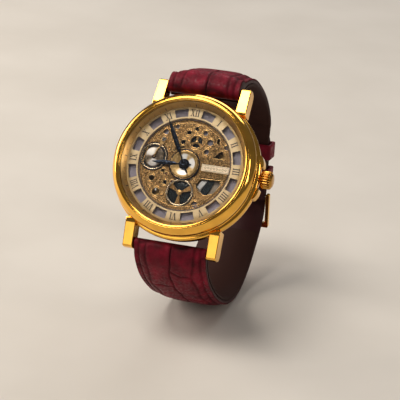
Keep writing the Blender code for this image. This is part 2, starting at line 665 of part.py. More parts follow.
def build_stem():
    winding = prism(gear(12, 0.16, 0), [circle(0.47, 12)], 9.8, 11.3)
    place("winding_pinion", along_x(winding, STEM_Z), steel, (0, 0, STEM_Z))
    clutch = [(0.47, 12.2), (1.0, 12.2), (1.0, 12.6), (0.75, 12.7), (0.75, 13.1), (1.0, 13.2),
              (1.0, 13.7), (0.47, 13.7)]
    place("sliding_pinion", along_x(lathe(clutch, 16), STEM_Z), steel, (0, 0, STEM_Z))
    place("winding_stem", along_x(disc(0.42, 9.0, 23.27, 12), STEM_Z), steel, (0, 0, STEM_Z))
    place("crown_tube", along_x(ring(0.5, 1.15, 18.45, 22.75, 16), STEM_Z), gold, (0, 0, STEM_Z))
    grip = prism(gear(24, 0.206, 0, flat=0, root=0.6), [], 22.4, 25.0)
    cap = lathe([(0, 22.15), (2.15, 22.15), (2.4, 22.6), (2.4, 24.9), (2.1, 25.35), (1.4, 25.6),
                 (0, 25.7)], 24)
    recess = disc(1.35, 21.5, 23.3, 16)
    place("crown", along_x(cut(join(grip, cap), recess), STEM_Z), gold, (0, 0, STEM_Z))
    place("crown_gasket", along_x(ring(0.47, 1.25, 22.85, 23.25, 16), STEM_Z), rubber, (0, 0, STEM_Z))


def build_spring_bars():
    for name, end in (("spring_bar_upper", 1), ("spring_bar_lower", -1)):
        profile = [(0, -12.1), (0.38, -12.1), (0.38, -10.9), (0.75, -10.9), (0.75, 10.9),
                   (0.38, 10.9), (0.38, 12.1), (0, 12.1)]
        bar = along_x(lathe(profile, 10), BAR_Z)
        bar.transform(Matrix.Translation((0, end * BAR_Y, 0)))
        place(name, bar, steel)


# ---------- strap ----------

REAR_START = Vector((10.0, -53.6))  # where the straight rear stretch begins, by the buckle
REAR_LENGTH = 21.95
REAR_ALONG = Vector((0.8654, 0.5010)).normalized()
REAR_OUT = Vector((REAR_ALONG.y, -REAR_ALONG.x))


def rear(along, out=0.0):
    """A point on the straight rear stretch, out from the inner face of the strap."""
    return REAR_START + REAR_ALONG * along + REAR_OUT * out


TAIL_LIFT = 2.7
UPPER_PATH = [(22.4, 0.53), (25.6, 0.2), (29.2, -4.6), (31.8, -12), (32.9, -21), (32.8, -30.5),
              (31.3, -38), rear(REAR_LENGTH), rear(REAR_LENGTH - 2), rear(1.0), rear(-1.2), rear(-3.4)]
LOWER_PATH = [(-22.3, 1.45), (-25.9, 0.7), (-29.4, -5.1), (-31.3, -13.9), (-31.7, -24), (-29.9, -34.9),
              (-24.9, -44.8), (-17.0, -51.6), (-7.2, -56.1), (-2.0, -57.9), (3.0, -58.9)]
LOWER_PATH += [rear(along, TAIL_LIFT) for along in (-3.9, -2.3, 0.5, REAR_LENGTH - 3, REAR_LENGTH - 1)]
STATION = 2.2  # spacing of the sections along the strap
UPPER_END_THICKNESS = 2.6
TAIL_THICKNESS = 1.9
BUCKLE_BAR_RADIUS = 0.45
BUCKLE_HINGE = rear(-2.3, 1.77)
BUCKLE_FRONT = Vector((0.9, -62.0))


def spline(points, spacing):
    """Points at an even spacing along a Catmull-Rom curve through the given ones."""
    points = [Vector(p) for p in points]
    padded = [2 * points[0] - points[1]] + points + [2 * points[-1] - points[-2]]
    fine = []
    for i in range(1, len(padded) - 2):
        a, b, c, d = padded[i - 1:i + 3]
        for k in range(24):
            t = k / 24
            fine.append(0.5 * ((2 * b) + (c - a) * t + (2 * a - 5 * b + 4 * c - d) * t ** 2
                               + (3 * b - a - 3 * c + d) * t ** 3))
    fine.append(padded[-2])
    lengths = [0.0]
    for a, b in zip(fine, fine[1:]):
        lengths.append(lengths[-1] + (b - a).length)
    count = max(2, round(lengths[-1] / spacing))
    even, at = [], 0
    for i in range(count + 1):
        wanted = lengths[-1] * i / count
        while at < len(fine) - 2 and lengths[at + 1] < wanted:
            at += 1
        share = (wanted - lengths[at]) / (lengths[at + 1] - lengths[at])
        even.append(fine[at].lerp(fine[at + 1], min(share, 1.0)))
    return even


def outward(points, turn):
    """The unit normals of a path, on the side that turn picks."""
    normals = []
    for i in range(len(points)):
        along = points[min(i + 1, len(points) - 1)] - points[max(i - 1, 0)]
        normals.append(Vector((-along.y, along.x)).normalized() * turn)
    return normals


def band(points, normals, low, high, half_width, kept=1.0):
    """A strap layer between the heights low and high above the path, with eased outer edges."""
    bm = bmesh.new()
    rows = []
    for i, (point, normal) in enumerate(zip(points, normals)):
        share = i / (len(points) - 1)
        if share > kept:
            break
        bottom, top, half = low(share), high(share), half_width(share)
        edge = min(0.5 * (top - bottom), 0.8)
        corners = [(-half, bottom), (half, bottom), (half, top - edge), (half - edge, top),
                   (-half + edge, top), (-half, top - edge)]
        row = []
        for x, height in corners:
            at = point + normal * height
            row.append(bm.verts.new((x, at.x, at.y)))
        rows.append(row)
    for a, b in zip(rows, rows[1:]):
        for k in range(len(a)):
            bm.faces.new((a[k - 1], a[k], b[k], b[k - 1]))
    bm.faces.new(rows[0])
    bm.faces.new(rows[-1])
    return bm


def level(value):
    return lambda share: value


def strap_width(share):
    """Half the strap's width, from the lugs to the buckle."""
    return STRAP_HALF_WIDTH + (STRAP_END_HALF_WIDTH - STRAP_HALF_WIDTH) * min(1.0, share * 1.3)


def swell(share, peak, spread):
    """The thicker fold round the spring bar, from 0 to 1."""
    return math.exp(-((share - peak) / spread) ** 2)


def upper_thickness(share):
    """Height of the padded top above the path: thick at the lugs, thin at the buckle."""
    return 4.2 - (4.2 - UPPER_END_THICKNESS) * min(1.0, share * 1.8) + 2.0 * swell(share, 0.02, 0.05)


def lower_thickness(share):
    return 3.2 - (3.2 - TAIL_THICKNESS) * min(1.0, share * 2.2) + 0.9 * swell(share, 0.015, 0.035)


def bar_tunnel(at, radius):
    tunnel = along_x(disc(radius, -13, 13, 10), at.y)
    tunnel.transform(Matrix.Translation((0, at.x, 0)))
    return tunnel


def build_upper_strap():
    points = spline(UPPER_PATH, STATION)
    normals = outward(points, 1)
    top = band(points, normals, level(LINING + STRAP_GAP), upper_thickness, strap_width)
    notch = prism([(-0.9, 5.0), (0.9, 5.0), (0.9, 10.3), (-0.9, 10.3)], [], -60, -54)
    tunnels = [bar_tunnel(Vector((BAR_Y, BAR_Z)), 0.85), bar_tunnel(BUCKLE_HINGE, 0.52)]
    place("strap_upper", cut(top, notch, *tunnels), leather)
    lining = band(points, normals, level(0), level(LINING), strap_width, 0.94)
    place("lining_upper", lining, dark_leather)


def build_lower_strap():
    points = spline(LOWER_PATH, STATION)
    normals = outward(points, -1)
    top = band(points, normals, level(0), lower_thickness, strap_width)
    slot = prism([(-0.75, 3.2), (0.75, 3.2), (0.75, 9.1), (-0.75, 9.1)], [], -64, -52)
    place("strap_lower", cut(top, bar_tunnel(Vector((-BAR_Y, BAR_Z)), 0.85), slot), leather)
    lining = band(points, normals, level(-LINING - STRAP_GAP), level(-STRAP_GAP), strap_width, 0.68)
    place("lining_lower", lining, dark_leather)


def keeper(at, length):
    """A leather loop round the strap and its tail; at is its middle on the straight stretch."""
    inner, outer = 9.35, 10.35
    low, high, wall = -0.08, TAIL_LIFT + TAIL_THICKNESS + 0.1, 0.9
    outline = [(-outer, low - wall), (outer, low - wall), (outer, high + wall), (-outer, high + wall)]
    hole = [(-inner, low), (inner, low), (inner, high), (-inner, high)]
    bm = prism(outline, [hole], -length / 2, length / 2)
    bm.transform(Matrix(((1, 0, 0, 0),
                         (0, REAR_OUT.x, REAR_ALONG.x, at.x),
                         (0, REAR_OUT.y, REAR_ALONG.y, at.y),
                         (0, 0, 0, 1))))
    return bm


def build_keepers():
    place("fixed_keeper", keeper(rear(5.0), 4.6), leather)
    place("free_keeper", keeper(rear(13.0), 5.0), leather, (0, *rear(13.0)))


def build_buckle():
    """The pin buckle, drawn with its frame along v and its outer side along w, then turned."""
    v = (BUCKLE_FRONT - BUCKLE_HINGE).normalized()
    w = Vector((-v.y, v.x))
    reach = (BUCKLE_FRONT - BUCKLE_HINGE).length
    outer, inner, arm_end = 10.65, 9.45, -1.0
    outline = [(-outer, arm_end), (-outer, reach + 0.8), (outer, reach + 0.8), (outer, arm_end),
               (inner, arm_end), (inner, reach - 0.8), (-inner, reach - 0.8), (-inner, arm_end)]
    frame = prism(outline, [], -0.75, 0.75)
    frame = cut(frame, along_x(disc(0.5, -13, 13, 10), 0))
    across = Matrix(((1, 0, 0, 0),
                     (0, v.x, w.x, BUCKLE_HINGE.x),
                     (0, v.y, w.y, BUCKLE_HINGE.y),
                     (0, 0, 0, 1)))
    frame.transform(across)
    place("buckle_frame", frame, gold, (0, *BUCKLE_HINGE))
    blade = tapered_bar((0, 0), 0.85, (reach + 0.5, 1.45), 0.35, 7)
    tongue = prism(blade, [circle(0.5, 10)], -0.55, 0.55)
    tongue.transform(across @ Matrix(((0, 0, 1, 0), (1, 0, 0, 0), (0, 1, 0, 0), (0, 0, 0, 1))))
    place("buckle_tongue", tongue, gold, (0, *BUCKLE_HINGE))
    bar = along_x(disc(BUCKLE_BAR_RADIUS, -10.55, 10.55, 10), BUCKLE_HINGE.y)
    bar.transform(Matrix.Translation((0, BUCKLE_HINGE.x, 0)))
    place("buckle_bar", bar, steel, (0, *BUCKLE_HINGE))


build_case_body()
build_case_covers()
build_dial()
build_main_plate()
build_front_bridge()
build_rear_bridge()
build_cocks()
build_barrel()
build_centre_wheel()
build_third_wheel()
build_fourth_wheel()
build_escapement()
build_pallet_fork()
build_balance()
build_motion_work()
build_hands()
build_winding()
build_stem()
build_spring_bars()
build_upper_strap()
build_lower_strap()
build_keepers()
build_buckle()
bpy.context.view_layer.update()
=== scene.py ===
"""Looks of the skeleton wristwatch: polished gold case, pierced gilt movement and padded strap.

Pieces are drawn in the watch's own frame in millimetres: X to 3 o'clock, Y to 12 o'clock and Z out
of the dial, with Z = 0 on the case back's outer face. FRAME turns that frame into the row's.
"""

import math

import bmesh
import bpy
from mathutils import Matrix, Vector


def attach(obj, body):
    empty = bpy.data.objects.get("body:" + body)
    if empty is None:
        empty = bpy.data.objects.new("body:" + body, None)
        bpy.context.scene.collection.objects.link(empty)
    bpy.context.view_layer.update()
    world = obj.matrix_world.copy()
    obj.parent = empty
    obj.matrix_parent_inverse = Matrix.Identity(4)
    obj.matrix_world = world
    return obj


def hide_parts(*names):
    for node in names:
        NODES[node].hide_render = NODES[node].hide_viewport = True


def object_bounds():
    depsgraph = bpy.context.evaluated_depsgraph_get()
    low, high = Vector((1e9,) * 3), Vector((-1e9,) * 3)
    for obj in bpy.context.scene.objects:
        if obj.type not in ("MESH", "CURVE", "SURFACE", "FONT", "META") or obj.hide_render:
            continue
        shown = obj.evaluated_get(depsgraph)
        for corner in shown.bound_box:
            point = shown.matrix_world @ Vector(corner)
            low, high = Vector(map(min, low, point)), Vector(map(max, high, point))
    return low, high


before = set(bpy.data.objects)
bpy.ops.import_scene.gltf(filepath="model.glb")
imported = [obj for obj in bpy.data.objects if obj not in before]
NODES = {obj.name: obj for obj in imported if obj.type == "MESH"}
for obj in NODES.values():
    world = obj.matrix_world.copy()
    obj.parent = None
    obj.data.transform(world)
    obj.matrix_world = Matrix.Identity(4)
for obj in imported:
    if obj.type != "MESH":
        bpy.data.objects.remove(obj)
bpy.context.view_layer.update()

MM = 0.001
DIAL_LEAN = 35.0
FRAME = Matrix.Rotation(math.radians(90 - DIAL_LEAN), 4, "X")

# Movement centres, in the watch frame
BARREL = (1.71, 6.79)
THIRD = (3.4, -4.2)
FOURTH = (0.2, -8.3)
BALANCE = (-9.7, 1.2)
ESCAPE = (-2.715, -5.467)
PALLET = (-4.868, -3.377)
MINUTE = (1.493, 1.493)
CROWN_WHEEL = (7.233, 0.0)
FRONT_PETALS = (2.05, 7.25)
STEM_Z = 3.65
BRIDGE_TOP = 7.05

# Hands at 8:55
HOUR_ANGLE = 267.5
MINUTE_ANGLE = 330.0


# ---------- outlines ----------

def polar(radius, degrees, centre=(0, 0)):
    angle = math.radians(degrees)
    return (centre[0] + radius * math.cos(angle), centre[1] + radius * math.sin(angle))


def arc(radius, start, end, count, centre=(0, 0)):
    step = (end - start) / (count - 1)
    return [polar(radius, start + step * i, centre) for i in range(count)]


def circle(radius, count=32, centre=(0, 0)):
    return [polar(radius, 360 * i / count, centre) for i in range(count)]


def sector(inner, outer, start, end, count=10, centre=(0, 0)):
    return arc(inner, start, end, count, centre) + arc(outer, end, start, count, centre)


def box(left, low, right, high):
    return [(left, low), (right, low), (right, high), (left, high)]


def sectors(inner, outer, arms, arm_degrees, centre, first, count=12):
    pitch = 360 / arms
    spans = [(first + pitch * i + arm_degrees / 2, first + pitch * (i + 1) - arm_degrees / 2)
             for i in range(arms)]
    return [sector(inner, outer, start, end, count, centre) for start, end in spans]


def fillet(points, radius, count=4):
    """A closed outline with rounded corners; corners on the axis x = 0 stay as they are."""
    rounded = []
    for i, point in enumerate(points):
        before, here = Vector(points[i - 1]), Vector(point)
        after = Vector(points[(i + 1) % len(points)])
        if here.x == 0:
            rounded.append(here)
            continue
        reach = min(radius, 0.45 * (before - here).length, 0.45 * (after - here).length)
        start = here + (before - here).normalized() * reach
        end = here + (after - here).normalized() * reach
        for k in range(count + 1):
            t = k / count
            rounded.append((1 - t) ** 2 * start + 2 * t * (1 - t) * here + t ** 2 * end)
    return rounded


FINE = 80  # steps in a span of a curve before it is spaced out evenly


def spline(points, spacing):
    """Points at an even spacing along a Catmull-Rom curve through the given ones."""
    points = [Vector(p) for p in points]
    padded = [2 * points[0] - points[1]] + points + [2 * points[-1] - points[-2]]
    fine = []
    for i in range(1, len(padded) - 2):
        a, b, c, d = padded[i - 1:i + 3]
        for k in range(FINE):
            t = k / FINE
            fine.append(0.5 * ((2 * b) + (c - a) * t + (2 * a - 5 * b + 4 * c - d) * t ** 2
                               + (3 * b - a - 3 * c + d) * t ** 3))
    fine.append(padded[-2])
    lengths = [0.0]
    for a, b in zip(fine, fine[1:]):
        lengths.append(lengths[-1] + (b - a).length)
    count = max(2, round(lengths[-1] / spacing))
    even, at = [], 0
    for i in range(count + 1):
        wanted = lengths[-1] * i / count
        while at < len(fine) - 2 and lengths[at + 1] < wanted:
            at += 1
        share = (wanted - lengths[at]) / (lengths[at + 1] - lengths[at])
        even.append(fine[at].lerp(fine[at + 1], min(share, 1.0)))
    return even, lengths[-1]


# ---------- solids ----------

ON_AXIS = 1e-6
BEVELLED_ANGLE = 40

def lathe(profile, steps=160, centre=(0, 0)):
    """Turns a closed outline of (radius, height) points about a vertical axis."""
    bm = bmesh.new()
    rings = []
    for radius, height in profile:
        if radius < ON_AXIS:
            rings.append([bm.verts.new((*centre, height))])
        else:
            rings.append([bm.verts.new((*polar(radius, 360 * k / steps, centre), height))
                          for k in range(steps)])
    for low, high in zip(rings, rings[1:] + rings[:1]):
        if len(low) == 1 and len(high) == 1:
            continue
        for k in range(steps):
            if len(low) == 1:
                corners = [low[0], high[k], high[k - 1]]
            elif len(high) == 1:
                corners = [low[k - 1], low[k], high[0]]
            else:
                corners = [low[k - 1], low[k], high[k], high[k - 1]]
            bm.faces.new(corners)
    return bm


def ring(inner, outer, low, high, edge=0.08, steps=96, centre=(0, 0)):
    return lathe(fillet(box(inner, low, outer, high), edge, 3), steps, centre)


def disc(radius, low, high, edge=0.05, steps=48, centre=(0, 0)):
    return ring(0, radius, low, high, edge, steps, centre)


def prism(outline, holes, low, high):
    bm = bmesh.new()
    edges = []
    for loop in [outline] + list(holes):
        verts = [bm.verts.new((point[0], point[1], low)) for point in loop]
        edges += [bm.edges.new((verts[i - 1], verts[i])) for i in range(len(verts))]
    bmesh.ops.triangle_fill(bm, use_beauty=True, edges=edges, normal=(0, 0, 1))
    raised = bmesh.ops.extrude_face_region(bm, geom=bm.faces[:])["geom"]
    lifted = [item for item in raised if isinstance(item, bmesh.types.BMVert)]
    bmesh.ops.translate(bm, verts=lifted, vec=(0, 0, high - low))
    return bm


def merge(solids):
    """Several solids as one mesh."""
    whole = bmesh.new()
    for solid in solids:
        part = bpy.data.meshes.new("part")
        solid.to_mesh(part)
        solid.free()
        whole.from_mesh(part)
        bpy.data.meshes.remove(part)
    return whole


def loft(rows, bm=None):
    """Joins closed rows of points one after another and caps both ends."""
    if bm is None:
        bm = bmesh.new()
    rows = [[bm.verts.new(point) for point in row] for row in rows]
    for a, b in zip(rows, rows[1:]):
        for k in range(len(a)):
            bm.faces.new((a[k - 1], a[k], b[k], b[k - 1]))
    bm.faces.new(rows[0])
    bm.faces.new(rows[-1])
    return bm


def seated(second, third, at, x=0.0):
    """Runs a solid's Y and Z along two directions in the strap's plane, from a point in it."""
    return Matrix(((1, 0, 0, x), (0, second.x, third.x, at.x), (0, second.y, third.y, at.y),
                   (0, 0, 0, 1)))


def link_up(name, data):
    made = bpy.data.objects.new(name, data)
    bpy.context.collection.objects.link(made)
    return made


def add(name, bm, look, body="case", stands_for=(), bevel=0.0, sharp=35):
    """Stores a solid drawn in the watch frame as a piece that rides on a body."""
    bmesh.ops.recalc_face_normals(bm, faces=bm.faces[:])
    bm.transform(FRAME @ Matrix.Scale(MM, 4))
    mesh = bpy.data.meshes.new(name)
    bm.to_mesh(mesh)
    bm.free()
    mesh.materials.append(look)
    mesh.shade_smooth()
    mesh.set_sharp_from_angle(angle=math.radians(sharp))
    piece = link_up(name, mesh)
    if bevel:
        step = piece.modifiers.new("edges", "BEVEL")
        step.width = bevel * MM
        step.segments = 3
        step.limit_method = "ANGLE"
        step.angle_limit = math.radians(BEVELLED_ANGLE)
    settle(piece, body, stands_for)
    return piece


def settle(piece, body, stands_for=()):
    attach(piece, body)
    if stands_for:
        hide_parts(*stands_for)


def wires(name, paths, radius, look):
    """Round wires along (path, closed) pairs, as one curve piece."""
    curve = bpy.data.curves.new(name, "CURVE")
    curve.dimensions = "3D"
    curve.bevel_depth = radius * MM
    curve.bevel_resolution = 2
    curve.use_fill_caps = True
    for path, closed in paths:
        run = curve.splines.new("POLY")
        run.points.add(len(path) - 1)
        for point, at in zip(run.points, path):
            point.co = (*(FRAME @ Vector(at) * MM), 1)
        run.use_cyclic_u = closed
    curve.materials.append(look)
    settle(link_up(name, curve), "case")


# ---------- materials ----------

class Look:
    """A material being wired up."""

    def __init__(self, name, colour, metallic, roughness, **extra):
        self.material = bpy.data.materials.new(name)
        self.material.use_nodes = True
        self.tree = self.material.node_tree
        self.surface = self.tree.nodes["Principled BSDF"]
        self.fill(self.surface, Base_Color=(*colour, 1), Metallic=metallic, Roughness=roughness,
                  **extra)

    def fill(self, node, **sockets):
        for key, value in sockets.items():
            node.inputs[key.replace("_", " ")].default_value = value

    def node(self, kind, settings=(), **sockets):
        made = self.tree.nodes.new("ShaderNode" + kind)
        for key, value in dict(settings).items():
            setattr(made, key, value)
        self.fill(made, **sockets)
        return made

    def link(self, out, into):
        self.tree.links.new(out, into)

    def at(self, where, kind, settings=(), **sockets):
        """A node that takes coordinates."""
        made = self.node(kind, settings, **sockets)
        self.link(where, made.inputs["Vector"])
        return made

    def place(self, centre=(0, 0, 0)):
        """Coordinates in millimetres in the watch frame, from a centre in it."""
        lean = (-math.radians(90 - DIAL_LEAN), 0, 0)
        source = self.node("TexCoord").outputs["Object"]
        return self.at(source, "Mapping", Scale=(1 / MM,) * 3, Rotation=lean,
                       Location=[-c for c in centre]).outputs["Vector"]

    def noise(self, where, scale, detail=3.0, stretch=None):
        if stretch:
            where = self.at(where, "Mapping", Scale=stretch).outputs["Vector"]
        return self.at(where, "TexNoise", Scale=scale, Detail=detail).outputs["Fac"]

    def colours(self, factor, stops):
        ramp = self.node("ValToRGB")
        elements = ramp.color_ramp.elements
        while len(elements) < len(stops):
            elements.new(0.5)
        for element, (position, colour) in zip(elements, stops):
            element.position = position
            element.color = (*colour, 1)
        self.link(factor, ramp.inputs["Fac"])
        self.link(ramp.outputs["Color"], self.surface.inputs["Base Color"])

    def remap(self, value, low, high, start, end, settings=()):
        made = self.node("MapRange", settings, From_Min=start, From_Max=end, To_Min=low,
                         To_Max=high)
        self.link(value, made.inputs["Value"])
        return made.outputs["Result"]

    def spread(self, noise, low, high):
        """Roughness from low to high over the middle of a noise, where most of it lies."""
        self.link(self.remap(noise, low, high, 0.3, 0.7), self.surface.inputs["Roughness"])

    def maths(self, operation, a, b=0.0):
        made = self.node("Math", {"operation": operation})
        for socket, value in zip(made.inputs, (a, b)):
            if isinstance(value, (int, float)):
                socket.default_value = value
            else:
                self.link(value, socket)
        return made.outputs["Value"]

    def plus(self, a, b):
        return self.maths("ADD", a, b)

    def times(self, a, b):
        return self.maths("MULTIPLY", a, b)

    def bump(self, height, strength, depth):
        """Adds relief of a depth in millimetres to what is there already."""
        node = self.node("Bump", Strength=strength, Distance=depth * MM)
        old = self.surface.inputs["Normal"].links
        if old:
            self.link(old[0].from_socket, node.inputs["Normal"])
        self.link(height, node.inputs["Height"])
        self.link(node.outputs["Normal"], self.surface.inputs["Normal"])


def tint(colour, factor):
    return tuple(min(1.0, c * factor) for c in colour)


def polished(name, colour, roughness=0.12):
    """Polished plate: faint waviness, hairline scratches and a slow change of tone."""
    look = Look(name, colour, 1.0, roughness)
    where = look.place()
    slow = look.noise(where, 0.22, 2.0)
    look.colours(slow, [(0.3, tint(colour, 0.86)), (0.7, tint(colour, 1.08))])
    look.spread(look.noise(where, 1.7, 4.0), roughness * 0.85, roughness * 1.2)
    look.bump(look.noise(where, 0.16, 1.0), 0.10, 0.05)
    look.bump(look.noise(where, 9.0, 2.0, (1.0, 0.12, 1.0)), 0.08, 0.003)
    return look.material


def turned(name, colour, roughness, centre):
    """Metal with circular graining about a centre."""
    look = Look(name, colour, 1.0, roughness)
    where = look.place(centre)
    rings = look.at(where, "TexWave", {"wave_type": "RINGS", "rings_direction": "Z"}, Scale=1.0,
                    Distortion=0.15, Detail=1.0).outputs["Fac"]
    patch = look.noise(where, 0.3, 2.0)
    blend = look.plus(look.times(rings, 0.35), look.times(patch, 0.65))
    look.colours(blend, [(0.25, tint(colour, 0.6)), (0.6, colour), (0.9, tint(colour, 1.25))])
    look.spread(patch, roughness * 0.85, roughness * 1.25)
    look.bump(rings, 0.3, 0.012)
    return look.material


def painted_highlight_dish(name, dark, middle, light, highlight_wedges, reach, centre=(0, 0)):
    """A dished plate with painted highlight wedges, given as (degrees, sharpness), out to a radius.
    """
    roughness = 0.36
    look = Look(name, middle, 0.85, roughness)
    where = look.place((*centre, 0))
    flat = look.at(where, "Mapping", Scale=(1, 1, 0)).outputs["Vector"]
    length = look.at(flat, "VectorMath", {"operation": "LENGTH"}).outputs["Value"]
    unit = look.at(flat, "VectorMath", {"operation": "NORMALIZE"}).outputs["Vector"]
    # Painted highlights: each wedge lightens the colour towards its direction, inside the reach
    highlight_mask = 0.0
    for degrees, sharpness in highlight_wedges:
        dot = look.at(unit, "VectorMath", {"operation": "DOT_PRODUCT"})
        dot.inputs[1].default_value = (*polar(1, degrees), 0)
        half = look.times(look.plus(dot.outputs["Value"], 1.0), 0.5)
        highlight_mask = look.plus(look.maths("POWER", half, sharpness), highlight_mask)
    inside = look.remap(length, 1.0, 0.0, reach - 0.25, reach + 0.25,
                        {"interpolation_type": "SMOOTHSTEP"})
    grain = look.noise(where, 1.3, 4.0)
    tone = look.plus(look.times(highlight_mask, inside), look.times(look.maths("SUBTRACT", grain, 0.5), 0.5))
    look.colours(tone, [(0.0, dark), (0.18, middle), (0.55, light), (1.0, tint(light, 1.1))])
    look.spread(grain, roughness * 0.8, roughness * 1.3)
    return look.material


def engraved(name, light, dark, roughness, scale=1.0, depth=0.05):
    """Gilt metal chased all over with small cells, with dark old finish left in the cuts."""
    look = Look(name, light, 1.0, roughness)
    where = look.place()
    cells = look.at(where, "TexVoronoi", {"feature": "DISTANCE_TO_EDGE"}, Scale=1.9 * scale)
    curls = look.at(where, "TexVoronoi", {"feature": "SMOOTH_F1"}, Scale=1.1 * scale)
    waves = look.maths("SINE", look.times(curls.outputs["Distance"], 24.0))
    rings = look.times(look.plus(waves, 1.0), 0.5)
    cut = look.maths("MINIMUM", look.times(cells.outputs["Distance"], 6.0), 1.0)
    relief = look.times(look.plus(cut, rings), 0.5)
    slow = look.noise(where, 0.16, 3.0)
    mask = look.plus(look.times(relief, 0.55), look.times(slow, 0.75))
    look.colours(mask, [(0.25, dark), (0.45, tint(light, 0.45)), (0.66, light),
                        (0.9, tint(light, 1.35))])
    look.spread(slow, roughness * 0.8, roughness * 1.4)
    look.bump(relief, 0.8, depth)
    return look.material


def striped(name, colour, roughness, scale):
    """Plate with broad parallel stripes across it and fine graining."""
    look = Look(name, colour, 1.0, roughness)
    where = look.place()
    bands = look.at(where, "TexWave", {"wave_type": "BANDS", "bands_direction": "X",
                                       "wave_profile": "SAW"}, Scale=scale).outputs["Fac"]
    grain = look.noise(where, 5.0, 4.0, (1.0, 0.2, 1.0))
    look.colours(bands, [(0.0, tint(colour, 0.55)), (0.5, colour), (1.0, tint(colour, 1.3))])
    look.spread(grain, roughness * 0.7, roughness * 1.5)
    look.bump(bands, 0.5, 0.03)
    return look.material


def matt(name, colour, roughness, scale=3.0, depth=0.01, shine=0.5):
    """Plastic, rubber or print: slightly uneven in tone, with a fine grain."""
    look = Look(name, colour, 0.0, roughness, Specular_IOR_Level=shine)
    where = look.place()
    grain = look.noise(where, scale, 4.0)
    look.colours(grain, [(0.3, tint(colour, 0.8)), (0.7, tint(colour, 1.18))])
    look.spread(grain, roughness * 0.85, min(1.0, roughness * 1.15))
    look.bump(look.noise(where, scale * 4, 2.0), 0.4, depth)
    return look.material


def dial_finish():
    """Champagne dial with a fine upright graining and painted shade, a darker, warmer tone, towards
    the rim.
    """
    light, rim_shade = (0.54, 0.41, 0.235), (0.33, 0.22, 0.09)
    look = Look("champagne_dial", light, 0.55, 0.36)
    where = look.place()
    length = look.at(where, "VectorMath", {"operation": "LENGTH"}).outputs["Value"]
    lines = look.at(where, "TexWave", {"wave_type": "BANDS", "bands_direction": "X"}, Scale=1.3,
                    Distortion=0.4).outputs["Fac"]
    # Painted shade: the colour darkens and warms outward from a radius of 17.2 mm to the rim
    outward = look.times(look.maths("SUBTRACT", length, 17.2), 0.35)
    tone = look.plus(outward, look.times(look.noise(where, 0.8, 4.0), 0.7))
    look.colours(tone, [(0.15, light), (0.45, tint(light, 0.93)), (0.8, rim_shade)])
    look.bump(lines, 0.25, 0.01)
    look.spread(look.noise(where, 2.0), 0.30, 0.42)
    return look.material


def leather(name, raised, crease_shade, gloss):
    """Glazed leather with painted shade in its creases, pores and a slow change of tone."""
    look = Look(name, raised, 0.0, gloss, Specular_IOR_Level=0.16)
    where = look.place()
    # The strap's crease value darkens the colour towards the crease colour: painted shade in the
    # creases, stitch grooves and holes
    crease = look.node("Attribute", {"attribute_name": "crease"}).outputs["Fac"]
    tone = look.maths("SUBTRACT", look.noise(where, 0.28, 4.0), look.times(crease, 0.42))
    look.colours(tone, [(0.0, crease_shade), (0.34, tint(raised, 0.55)), (0.55, raised),
                        (0.8, tint(raised, 1.7))])
    pores = look.at(where, "TexVoronoi", {"feature": "DISTANCE_TO_EDGE"}, Scale=2.6)
    look.bump(pores.outputs["Distance"], 0.30, 0.035)
    look.bump(look.noise(where, 1.1, 5.0), 0.35, 0.12)
    wear = look.plus(look.noise(where, 1.4, 5.0), look.times(crease, 0.5))
    look.spread(wear, gloss * 0.75, min(0.9, gloss * 1.7))
    return look.material


def glass(name):
    """Clear crystal that lets the lamps' light through to what is under it."""
    look = Look(name, (1, 1, 1), 0.0, 0.0, Transmission_Weight=1.0, IOR=1.45)
    where = look.place()
    look.bump(look.noise(where, 0.08, 1.0), 0.02, 0.02)
    path = look.node("LightPath")
    clear = look.node("BsdfTransparent")
    mix = look.node("MixShader")
    look.link(path.outputs["Is Shadow Ray"], mix.inputs["Fac"])
    look.link(look.surface.outputs["BSDF"], mix.inputs[1])
    look.link(clear.outputs["BSDF"], mix.inputs[2])
    look.link(mix.outputs["Shader"], look.tree.nodes["Material Output"].inputs["Surface"])
    return look.material


gold = polished("yellow_gold_plate", (0.93, 0.50, 0.085), 0.10)
crown_gold = polished("crown_gold", (0.62, 0.32, 0.062), 0.2)
bronze = polished("bronze_gold_flange", (0.44, 0.26, 0.085), 0.36)
pale_rim = polished("pale_gold_rim", (0.62, 0.50, 0.34), 0.2)
filigree = engraved("gilt_filigree", (0.165, 0.094, 0.036), (0.020, 0.011, 0.005), 0.38)
rim_bronze = polished("bronze_rims", (0.56, 0.36, 0.15), 0.24)
filigree_wire = polished("gilt_scrolls", (0.48, 0.30, 0.12), 0.26)
champagne = dial_finish()
ink_and_shade = matt("dark_print_and_shade", (0.022, 0.014, 0.010), 0.35, scale=6.0)
enamel = matt("cream_enamel", (0.66, 0.53, 0.36), 0.4, scale=1.6, depth=0.006)
blued = polished("blue_black_steel", (0.012, 0.016, 0.024), 0.28)
black = matt("black_gloss", (0.008, 0.012, 0.014), 0.12, scale=2.0)
back_steel = polished("brushed_back_steel", (0.58, 0.58, 0.59), 0.25)
crystal_glass = glass("crystal_glass")
burgundy = leather("burgundy_leather", (0.150, 0.003, 0.014), (0.014, 0.001, 0.002), 0.46)
edge_paint = matt("strap_edge_paint", (0.034, 0.006, 0.007), 0.55, scale=4.0, depth=0.02, shine=0.2)
lining = matt("lining_leather", (0.034, 0.012, 0.009), 0.7, scale=3.4, depth=0.03, shine=0.12)
thread = matt("burgundy_thread", (0.10, 0.006, 0.016), 0.55, scale=12.0, depth=0.03)
groove_brown = matt("groove_brown", (0.045, 0.022, 0.012), 0.4, scale=2.0)
garnet = matt("dark_garnet", (0.05, 0.008, 0.010), 0.12, scale=2.0)
rib_brown = polished("dark_ribs", (0.30, 0.18, 0.07), 0.26)
lavender = matt("lavender_grey", (0.155, 0.135, 0.165), 0.5, scale=1.5)
window_brown = matt("window_brown", (0.16, 0.125, 0.085), 0.45, scale=0.7)
window_silver = polished("window_silver", (0.42, 0.41, 0.40), 0.4)


# ---------- case ----------

